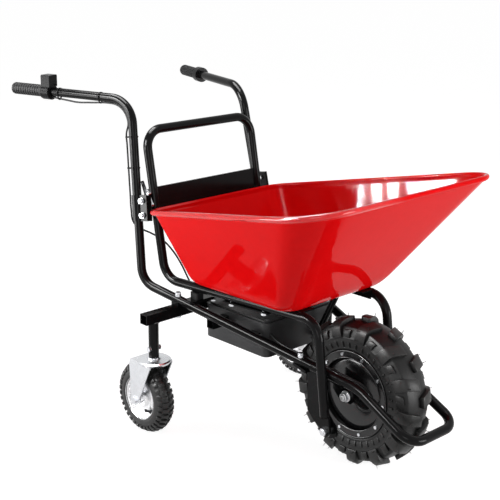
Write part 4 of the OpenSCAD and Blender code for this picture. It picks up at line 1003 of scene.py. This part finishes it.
@dataclass
class Caster:
    """Knobbly tyre, silver rim and valve of one swivel caster; millimetres.

    Profiles are radius and offset along the axle. A row of blocks has its reach along the section's arc, its
    width, its lean and the angle of its first block.
    """

    wardrobe: Wardrobe
    name: str
    side: float
    hub: Triple = (-522.0, 304.0, 103.0)
    bars: int = 34
    shoulder: float = 6.0
    steps: int = 96
    tyre_arcs: tuple[tuple[float, float, float, float, float], ...] = ((72.0, 0.0, 26.0, 0.0, 124.0),)
    tyre_inside: Profile = ((61.0, 16.0), (70.0, 20.0), (84.0, 14.0), (90.0, 0.0))
    tyre_lines: tuple[Triple, ...] = ((50.0, 1.0, 2.5), (44.0, 0.8, 2.5))
    blocks: tuple[tuple[Pair, float, float, float], ...] = (
        ((1.0, 17.0), 8.0, 0.25, 270.0), ((19.0, 31.0), 9.5, 0.0, 272.6))
    face: Profile = (
        (5.05, 31.0), (13.0, 31.0), (15.5, 29.5), (16.0, 27.0), (16.5, 18.0), (19.0, 15.5), (26.0, 13.5),
        (34.0, 13.2), (37.0, 14.6), (40.0, 14.6), (43.0, 12.5), (48.0, 9.5), (52.5, 10.5), (54.5, 14.0),
        (55.5, 20.0), (57.5, 22.4), (60.5, 23.2), (62.0, 24.4), (61.6, 25.8))
    well: Profile = ((59.0, 19.0), (57.0, 15.0), (57.0, -15.0), (59.0, -19.0))
    stem: Profile = ((0.01, 0.0), (6.0, 0.0), (5.5, 4.0), (3.6, 7.0), (3.4, 15.0), (4.2, 15.6), (4.2, 20.0),
                     (3.4, 21.0), (0.01, 21.0))
    stem_turn: float = math.radians(-45.0)
    stem_foot: Pair = (50.0, 11.0)
    stem_way: Pair = (-0.55, 0.83)
    stem_steps: int = 20

    def tyre(self, centre: Vector, body: str) -> None:
        """Builds the tyre with its two rows of blocks.

        Args:
            centre: Middle of the wheel.
            body: The CAD body that carries it.
        """
        section = TyreSection(self.tyre_arcs, step=0.5, soften=0)
        mesh = bmesh.new()
        revolve(mesh, section.outline(self.tyre_lines, self.tyre_inside), centre, ACROSS, self.steps)
        closed(mesh)
        for reach, width, lean, turn in self.blocks:
            Tread(section, centre, self.bars, width, reach, height=5.0, end_height=3.6,
                  shoulder=reach[0] + self.shoulder, lean=lean, start=math.radians(turn), cuts=3, soft=1.0,
                  sink=1.5).build(mesh)
        self.wardrobe.piece(mesh, "caster_rubber_" + self.name, body, TYRE_RUBBER,
                            ("caster_tyre_" + self.name,), crease=34.0)

    def rim(self, centre: Vector, body: str) -> None:
        """Builds the pressed rim.

        Args:
            centre: Middle of the wheel.
            body: The CAD body that carries it.
        """
        mesh = bmesh.new()
        far_face = [(radius, -along) for radius, along in reversed(self.face)]
        revolve(mesh, [*self.face, *self.well, *far_face], centre, ACROSS, self.steps)
        self.wardrobe.piece(closed(mesh), "caster_disc_" + self.name, body, RIM_SILVER,
                            ("caster_rim_" + self.name,), crease=40.0)

    def valve(self, centre: Vector, body: str) -> None:
        """Builds the valve, which leans out of the rim's dish.

        Args:
            centre: Middle of the wheel.
            body: The CAD body that carries it.
        """
        mesh = bmesh.new()
        ahead, up = math.cos(self.stem_turn), math.sin(self.stem_turn)
        (out, along), (lean, aside) = self.stem_foot, self.stem_way
        foot = centre + Vector((ahead * out, self.side * along, up * out)) * MM
        way = Vector((lean * ahead, self.side * aside, lean * up)).normalized()
        revolve(mesh, self.stem, foot, way, self.stem_steps, ring=False)
        self.wardrobe.piece(closed(mesh), "valve_" + self.name, body, CABLE_RUBBER)

    def build(self) -> None:
        """Builds the wheel's pieces."""
        centre = from_axle(self.hub[0], self.side * self.hub[1], self.hub[2])
        for make in (self.tyre, self.rim, self.valve):
            make(centre, "caster_wheel_" + self.name)


@dataclass
class Cable:
    """A cable along the points of its CAD solid, which are in millimetres."""

    wardrobe: Wardrobe
    name: str
    node: str
    thick: float
    points: Sequence[Triple]
    sides: int = 3
    steps: int = 8

    def build(self) -> None:
        data = bpy.data.curves.new(self.name, "CURVE")
        data.dimensions = "3D"
        data.bevel_depth = self.thick / 2
        data.bevel_resolution = self.sides
        data.use_fill_caps = True
        data.resolution_u = self.steps
        line = data.splines.new("BEZIER")
        line.bezier_points.add(len(self.points) - 1)
        places = [Vector(p) * MM for p in self.points]
        for knot, place in zip(line.bezier_points, places):
            knot.co = place
            knot.handle_left_type = knot.handle_right_type = "AUTO"
        data.materials.append(self.wardrobe.material(CABLE_RUBBER))
        cable = bpy.data.objects.new(self.name, data)
        bpy.context.scene.collection.objects.link(cable)
        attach(cable, "chassis")
        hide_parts(self.node)
        bpy.context.view_layer.update()


@dataclass
class Fittings:
    """Cable ties and welds on the frames; millimetres from the drive axle.

    Ties are placed by their share of the tube's length and the cable's distance from the tube's middle.
    """

    wardrobe: Wardrobe
    tube: float = 12.5
    corner: Triple = (-606.0, 245.0, 402.0)
    nose: Triple = (58.0, 86.0, 245.0)
    bend: Triple = (-691.0, 206.0, 896.0)
    grip: Triple = (-1089.0, 323.0, 896.0)
    cable: float = 5.0
    strap_play: float = 0.1
    strap_width: float = 4.4
    strap_thick: float = 1.2
    strap_steps: tuple[int, int] = (28, 12)
    lock: Triple = (7.0, 4.0, 6.0)
    upright_ties: tuple[Pair, ...] = ((0.80, 23.05), (0.63, 23.05))
    bar_ties: tuple[Pair, ...] = ((0.60, 17.5), (0.25, 15.2))
    post_top: Triple = (-486.0, 304.0, 329.4)
    post_radius: float = 15.0
    plate_ends: Pair = (-84.0, -24.0)
    plate_side: float = 119.6
    plate_drop: float = 10.4
    leg_foot: Triple = (-565.0, 182.2, 410.0)
    leg_lean: Pair = (80.0, 406.0)
    panel_ends: Pair = (600.0, 660.0)
    foot_tube: Triple = (-5.0, 133.0, 123.0)
    foot_way: Triple = (-38.0, 0.0, 287.0)
    foot_up: float = 37.0

    def run(self, x: float, side: float) -> Vector:
        """Finds a place on the axis of a sloping chassis tube.

        Args:
            x: Distance ahead of the drive axle.
            side: -1 for the right tube, 1 for the left.

        Returns:
            The place in the frame.
        """
        share = (x - self.corner[0]) / (self.nose[0] - self.corner[0])
        y, z = (a + (b - a) * share for a, b in zip(self.corner[1:], self.nose[1:]))
        return from_axle(x, side * y, z)

    def tie(self, mesh: bmesh.types.BMesh, tube: Vector, cable: Vector, axis: Vector) -> None:
        """Adds a strap that holds a cable to a tube, with its lock.

        Args:
            mesh: Mesh that it goes in.
            tube: Middle of the tube.
            cable: Middle of the cable.
            axis: Direction of the tube.
        """
        across = cable - tube
        across -= axis * across.dot(axis)
        apart = across.length / MM
        across.normalize()
        other = axis.cross(across)
        large, small = self.tube + self.strap_play, self.cable / 2 + self.strap_play
        lean = math.acos((large - small) / apart)
        round_tube, round_cable = self.strap_steps
        outline = [(large, lean + (math.tau - 2 * lean) * i / round_tube, 0.0) for i in range(round_tube + 1)]
        outline += [(small, -lean + 2 * lean * i / round_cable, apart) for i in range(round_cable + 1)]
        places = [across * (off + r * math.cos(a)) + other * r * math.sin(a) for r, a, off in outline]
        verts = [mesh.verts.new(tube + (p - axis * self.strap_width / 2) * MM) for p in places]
        edges = [mesh.edges.new((a, b)) for a, b in zip(verts, verts[1:] + verts[:1])]
        grown = bmesh.ops.extrude_edge_only(mesh, edges=edges)["geom"]
        fresh = [g for g in grown if isinstance(g, bmesh.types.BMVert)]
        bmesh.ops.translate(mesh, vec=axis * self.strap_width * MM, verts=fresh)
        faces = [g for g in grown if isinstance(g, bmesh.types.BMFace)]
        bmesh.ops.recalc_face_normals(mesh, faces=faces)
        bmesh.ops.solidify(mesh, geom=faces, thickness=-self.strap_thick * MM)
        lock = Matrix.Translation(tube + other * (large + self.lock[1] / 2) * MM)
        turn = Matrix((across, other, axis)).transposed().to_4x4()
        size = Matrix.Diagonal((*(length * MM for length in self.lock), 1.0))
        box = bmesh.ops.create_cube(mesh, size=1.0)["verts"]
        bmesh.ops.transform(mesh, matrix=lock @ turn @ size, verts=box)

    def ties(self) -> None:
        """Straps the throttle cable to the right handle."""
        mesh = bmesh.new()
        low, high, end = (Vector((x, -y, z)) for x, y, z in (self.corner, self.bend, self.grip))
        up, bar = (high - low).normalized(), (end - high).normalized()
        rear = (bar - up * bar.dot(up)).normalized()
        under = (bar * up.dot(bar) - up).normalized()
        for first, second, way, off_way, rows in ((low, high, up, rear, self.upright_ties),
                                                  (high, end, bar, under, self.bar_ties)):
            for share, off in rows:
                spot = first.lerp(second, share)
                self.tie(mesh, from_axle(*spot), from_axle(*(spot + off_way * off)), way)
        bmesh.ops.remove_doubles(mesh, verts=mesh.verts[:], dist=MERGE)
        self.wardrobe.piece(mesh, "cable_ties", "chassis", CONTROL_PLASTIC)

    def chassis_welds(self) -> None:
        """Welds the caster posts and the pivot plates."""
        mesh = bmesh.new()
        for _, side in SIDES:
            top = from_axle(self.post_top[0], side * self.post_top[1], self.post_top[2])
            weld(mesh, circle_places(top, UP, self.post_radius, count=34), size=2.0)
            ends = [self.run(x, side) for x in self.plate_ends]
            for spot in ends:
                spot.y = side * self.plate_side * MM
                spot.z -= self.plate_drop * MM
            weld(mesh, line_places(*ends, count=24), size=2.0)
        self.wardrobe.piece(mesh, "chassis_welds", "chassis", FRAME_PAINT)

    def tray_frame_welds(self) -> None:
        """Welds the rear panel's ends and the feet of the tray frame."""
        mesh = bmesh.new()
        x, y, low = self.leg_foot
        back, tall = self.leg_lean
        ahead, aside, height = self.foot_tube
        way = Vector(self.foot_way).normalized()
        for _, side in SIDES:
            ends = [from_axle(x - back * (z - low) / tall, side * y, z) for z in self.panel_ends]
            weld(mesh, line_places(*ends, count=26), size=1.9)
            foot = Vector((ahead, side * aside, height)) + way * self.foot_up
            weld(mesh, circle_places(from_axle(*foot), way, self.tube, count=30), size=1.7)
        self.wardrobe.piece(mesh, "tray_frame_welds", "tray", FRAME_PAINT)

    def build(self) -> None:
        """Makes all fittings."""
        self.ties()
        self.chassis_welds()
        self.tray_frame_welds()


# Routes of the two cables, as in the part's source.
THROTTLE_POINTS = (
    (-533.3, -285.7, 881.1), (-474.8, -269.2, 876.2), (-442.9, -260.1, 874.1), (-403.2, -248.1, 876.9),
    (-330.5, -226.1, 881.1), (-314.2, -221.7, 878.6), (-299.1, -218.1, 871.6), (-286.3, -215.8, 860.5),
    (-276.9, -214.9, 846.2), (-271.8, -215.5, 829.9), (-275.0, -219.8, 803.9), (-269.4, -222.4, 771.0),
    (-264.3, -224.8, 741.2), (-258.0, -227.7, 704.9), (-251.5, -230.7, 666.8), (-245.6, -233.4, 632.5),
    (-239.3, -236.2, 596.3), (-231.1, -234.7, 561.7), (-217.7, -217.9, 543.0), (-199.1, -198.1, 530.0),
    (-175.6, -180.9, 514.6), (-148.8, -166.6, 487.7), (-127.2, -152.6, 449.7), (-113.7, -137.8, 406.1),
    (-107.4, -122.2, 369.4), (-99.4, -111.6, 336.8), (-85.6, -106.8, 311.1), (-45.6, -104.0, 300.0),
)
MOTOR_POINTS = (
    (432.7, -51.5, 192.8), (453.5, -51.2, 178.4), (459.8, -51.2, 175.6), (466.4, -51.4, 174.1),
    (473.4, -51.8, 174.0), (480.5, -52.3, 175.3), (487.0, -52.9, 177.8), (492.7, -53.6, 181.5),
    (497.7, -54.5, 186.5), (501.9, -55.5, 192.7), (504.8, -56.6, 199.2), (506.3, -57.7, 205.9),
    (506.4, -58.9, 212.9), (505.2, -60.1, 220.0), (502.7, -61.4, 226.7), (498.9, -62.6, 232.7),
    (493.9, -63.9, 238.0), (487.6, -65.2, 242.8), (479.9, -67.1, 247.3), (470.8, -69.8, 251.4),
    (460.3, -73.1, 255.1), (448.3, -77.0, 258.6), (435.0, -81.0, 262.2), (404.8, -89.1, 269.8),
    (371.5, -97.1, 277.7), (340.0, -104.7, 285.2), (309.9, -111.9, 292.3), (279.9, -119.1, 299.4),
    (251.7, -124.5, 306.0), (229.4, -124.2, 311.1), (198.4, -116.0, 318.0),
)
# Name, place, size and brightness of each lamp.
LAMPS = (
    ("low", (-1.8, -2.3, 0.45), (2.0, 0.8), 13.5),
    ("front", (3.1, 1.1, 0.6), (1.4, 1.2), 11.5),
    ("fill", (2.6, -2.8, 1.2), (1.5, 1.5), 3.4),
    ("top", (0.2, 0.2, 3.3), (2.2, 1.6), 2.4),
)
LAMP_TARGET = (0.2, 0.0, 0.5)
# Name, place, direction, size and brightness of each card that shows in reflections alone.
SOFT_CARDS = (
    ("ceiling", (-0.9, -0.3, 3.3), (0.0, 0.0, -1.0), (2.6, 1.5), 30.0),
    ("side", (-0.7, -2.7, 2.0), (0.15, 0.85, -0.5), (1.8, 0.9), 45.0),
    ("softbox", (-1.055, -2.764, 1.60), (0.219, 0.976, 0.0), (0.55, 1.70), 30.0),
)
# Name, place along the row of cards, height, size and turn of each card that the tray alone mirrors.
TRAY_CARDS = (
    ("strip_a", -1.485, 1.56, (0.60, 0.034), 62.0),
    ("strip_b", -1.28, 1.96, (0.45, 0.024), 40.0),
    ("strip_c", -1.23, 2.12, (0.45, 0.054), 30.0),
    ("strip_d", -1.19, 2.27, (0.45, 0.070), 20.5),
    ("panel", -1.05, 2.65, (0.60, 0.46), 0.0),
)
TRAY_CARD_GLOW = 1300.0
CARD_FACE = (0.219, 0.976)
CARD_MIDDLE = (-0.45, -2.9)


@dataclass
class Studio:
    """White floor, soft lamps and the camera of the photograph; metres and degrees."""

    place: Triple = (AXLE_X + 1.727, -2.068, 1.369)
    yaw: float = 136.2
    pitch: float = -16.49
    roll: float = 0.59
    focus: float = 1111.2
    image: float = 500.0
    sensor: float = 36.0
    far: float = 120.0
    floor_half: float = 40.0
    floor_tone: Triple = (0.44, 0.44, 0.44)
    floor_glow: float = 0.87
    fill: float = 0.28

    def camera(self) -> None:
        """Makes the camera."""
        data = bpy.data.cameras.new("camera")
        data.sensor_width = self.sensor
        data.lens = self.sensor * self.focus / self.image
        data.clip_end = self.far
        camera = bpy.data.objects.new("camera", data)
        bpy.context.scene.collection.objects.link(camera)
        yaw, pitch, roll = (math.radians(a) for a in (self.yaw, self.pitch, self.roll))
        ahead = Vector((math.cos(pitch) * math.cos(yaw), math.cos(pitch) * math.sin(yaw), math.sin(pitch)))
        flat = ahead.cross(UP).normalized()
        up = flat.cross(ahead)
        right = math.cos(roll) * flat + math.sin(roll) * up
        head = -math.sin(roll) * flat + math.cos(roll) * up
        turn = Matrix((right, head, -ahead)).transposed().to_4x4()
        camera.matrix_world = Matrix.Translation(self.place) @ turn
        bpy.context.scene.camera = camera

    def lamp(self, name: str, place: Vector, face: Vector, size: Pair, glow: float,
             turn: float = 0.0, card: bool = False) -> bpy.types.Object:
        """Adds a soft rectangular lamp.

        Args:
            name: Name of the lamp.
            place: Its middle.
            face: The way that it shines.
            size: Width and height.
            glow: Brightness of its face.
            turn: Degrees that it is turned in its own plane.
            card: Whether it shows in reflections alone.

        Returns:
            The lamp.
        """
        data = bpy.data.lights.new(name, "AREA")
        data.shape = "RECTANGLE"
        data.size, data.size_y = size
        data.energy = glow * size[0] * size[1] * math.pi
        lamp = bpy.data.objects.new(name, data)
        bpy.context.scene.collection.objects.link(lamp)
        lamp.visible_diffuse = not card
        aim = face.to_track_quat("-Z", "Y").to_matrix().to_4x4()
        lamp.matrix_world = Matrix.Translation(place) @ aim @ Matrix.Rotation(math.radians(turn), 4, "Z")
        return lamp

    def lamps(self) -> None:
        """Hangs the soft cards and the lamps."""
        for name, spot, way, size, glow in SOFT_CARDS:
            self.lamp(name, Vector(spot), Vector(way), size, glow, card=True)
        for name, spot, size, glow in LAMPS:
            self.lamp(name, Vector(spot), Vector(LAMP_TARGET) - Vector(spot), size, glow)

    def tray_cards(self, tray: bpy.types.Object) -> None:
        """Hangs the bright cards that the tray's paint alone mirrors.

        Args:
            tray: The tray's sheet.
        """
        mirror = bpy.data.collections.new("tray_mirror")
        mirror.objects.link(tray)
        ahead, aside = CARD_FACE
        for name, along, height, size, turn in TRAY_CARDS:
            place = Vector((CARD_MIDDLE[0] + aside * along, CARD_MIDDLE[1] - ahead * along, height))
            card = self.lamp(name, place, Vector((ahead, aside, 0.0)), size, TRAY_CARD_GLOW, turn, card=True)
            card.light_linking.receiver_collection = mirror

    def world(self) -> None:
        """Makes the plain white surround, which lights the object by its fill alone."""
        world = bpy.data.worlds.new("surround")
        bpy.context.scene.world = world
        world.use_nodes = True
        nodes = Nodes(world.node_tree)
        strength = nodes.seen() * (1.0 - self.fill) + self.fill
        ground = nodes.node("ShaderNodeBackground", None, {"Color": WHITE, "Strength": strength})
        nodes.node("ShaderNodeOutputWorld", None, {"Surface": ground})

    def floor(self) -> None:
        """Lays the pale floor, which shows white and keeps the shadow."""
        mesh = bmesh.new()
        bmesh.ops.create_grid(mesh, x_segments=2, y_segments=2, size=self.floor_half)
        data = bpy.data.meshes.new("floor")
        mesh.to_mesh(data)
        mesh.free()
        floor = bpy.data.objects.new("floor", data)
        bpy.context.scene.collection.objects.link(floor)
        shades = Shades("floor_pale")
        cover = shades.node("ShaderNodeBsdfDiffuse", None, {"Color": self.floor_tone})
        glow = shades.node("ShaderNodeEmission", None, {"Color": WHITE, "Strength": self.floor_glow})
        both = shades.node("ShaderNodeAddShader", None, {0: cover, 1: glow})
        shown = shades.node("ShaderNodeMixShader", None, {0: shades.seen(), 1: cover, 2: both})
        shades.node("ShaderNodeOutputMaterial", None, {"Surface": shown})
        data.materials.append(shades.material)

    def build(self) -> None:
        """Sets up the studio, apart from the tray's own cards."""
        bpy.context.scene.view_settings.view_transform = "Standard"
        self.camera()
        self.world()
        self.floor()
        self.lamps()


def main() -> None:
    """Builds the scene."""
    logging.basicConfig(level=logging.INFO, format="%(name)s: %(message)s")
    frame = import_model()
    wardrobe = Wardrobe()
    wardrobe.dress_nodes(frame["nodes"], frame["record"])
    studio = Studio()
    studio.build()
    Cable(wardrobe, "throttle_lead", "throttle_cable", thick=0.005, points=THROTTLE_POINTS).build()
    Cable(wardrobe, "motor_lead", "motor_cable", thick=0.007, points=MOTOR_POINTS).build()
    studio.tray_cards(Tray(wardrobe).build())
    DriveWheel(wardrobe).build()
    for name, side in SIDES:
        Caster(wardrobe, name, side).build()
    Fittings(wardrobe).build()


if __name__ == "__main__":
    main()
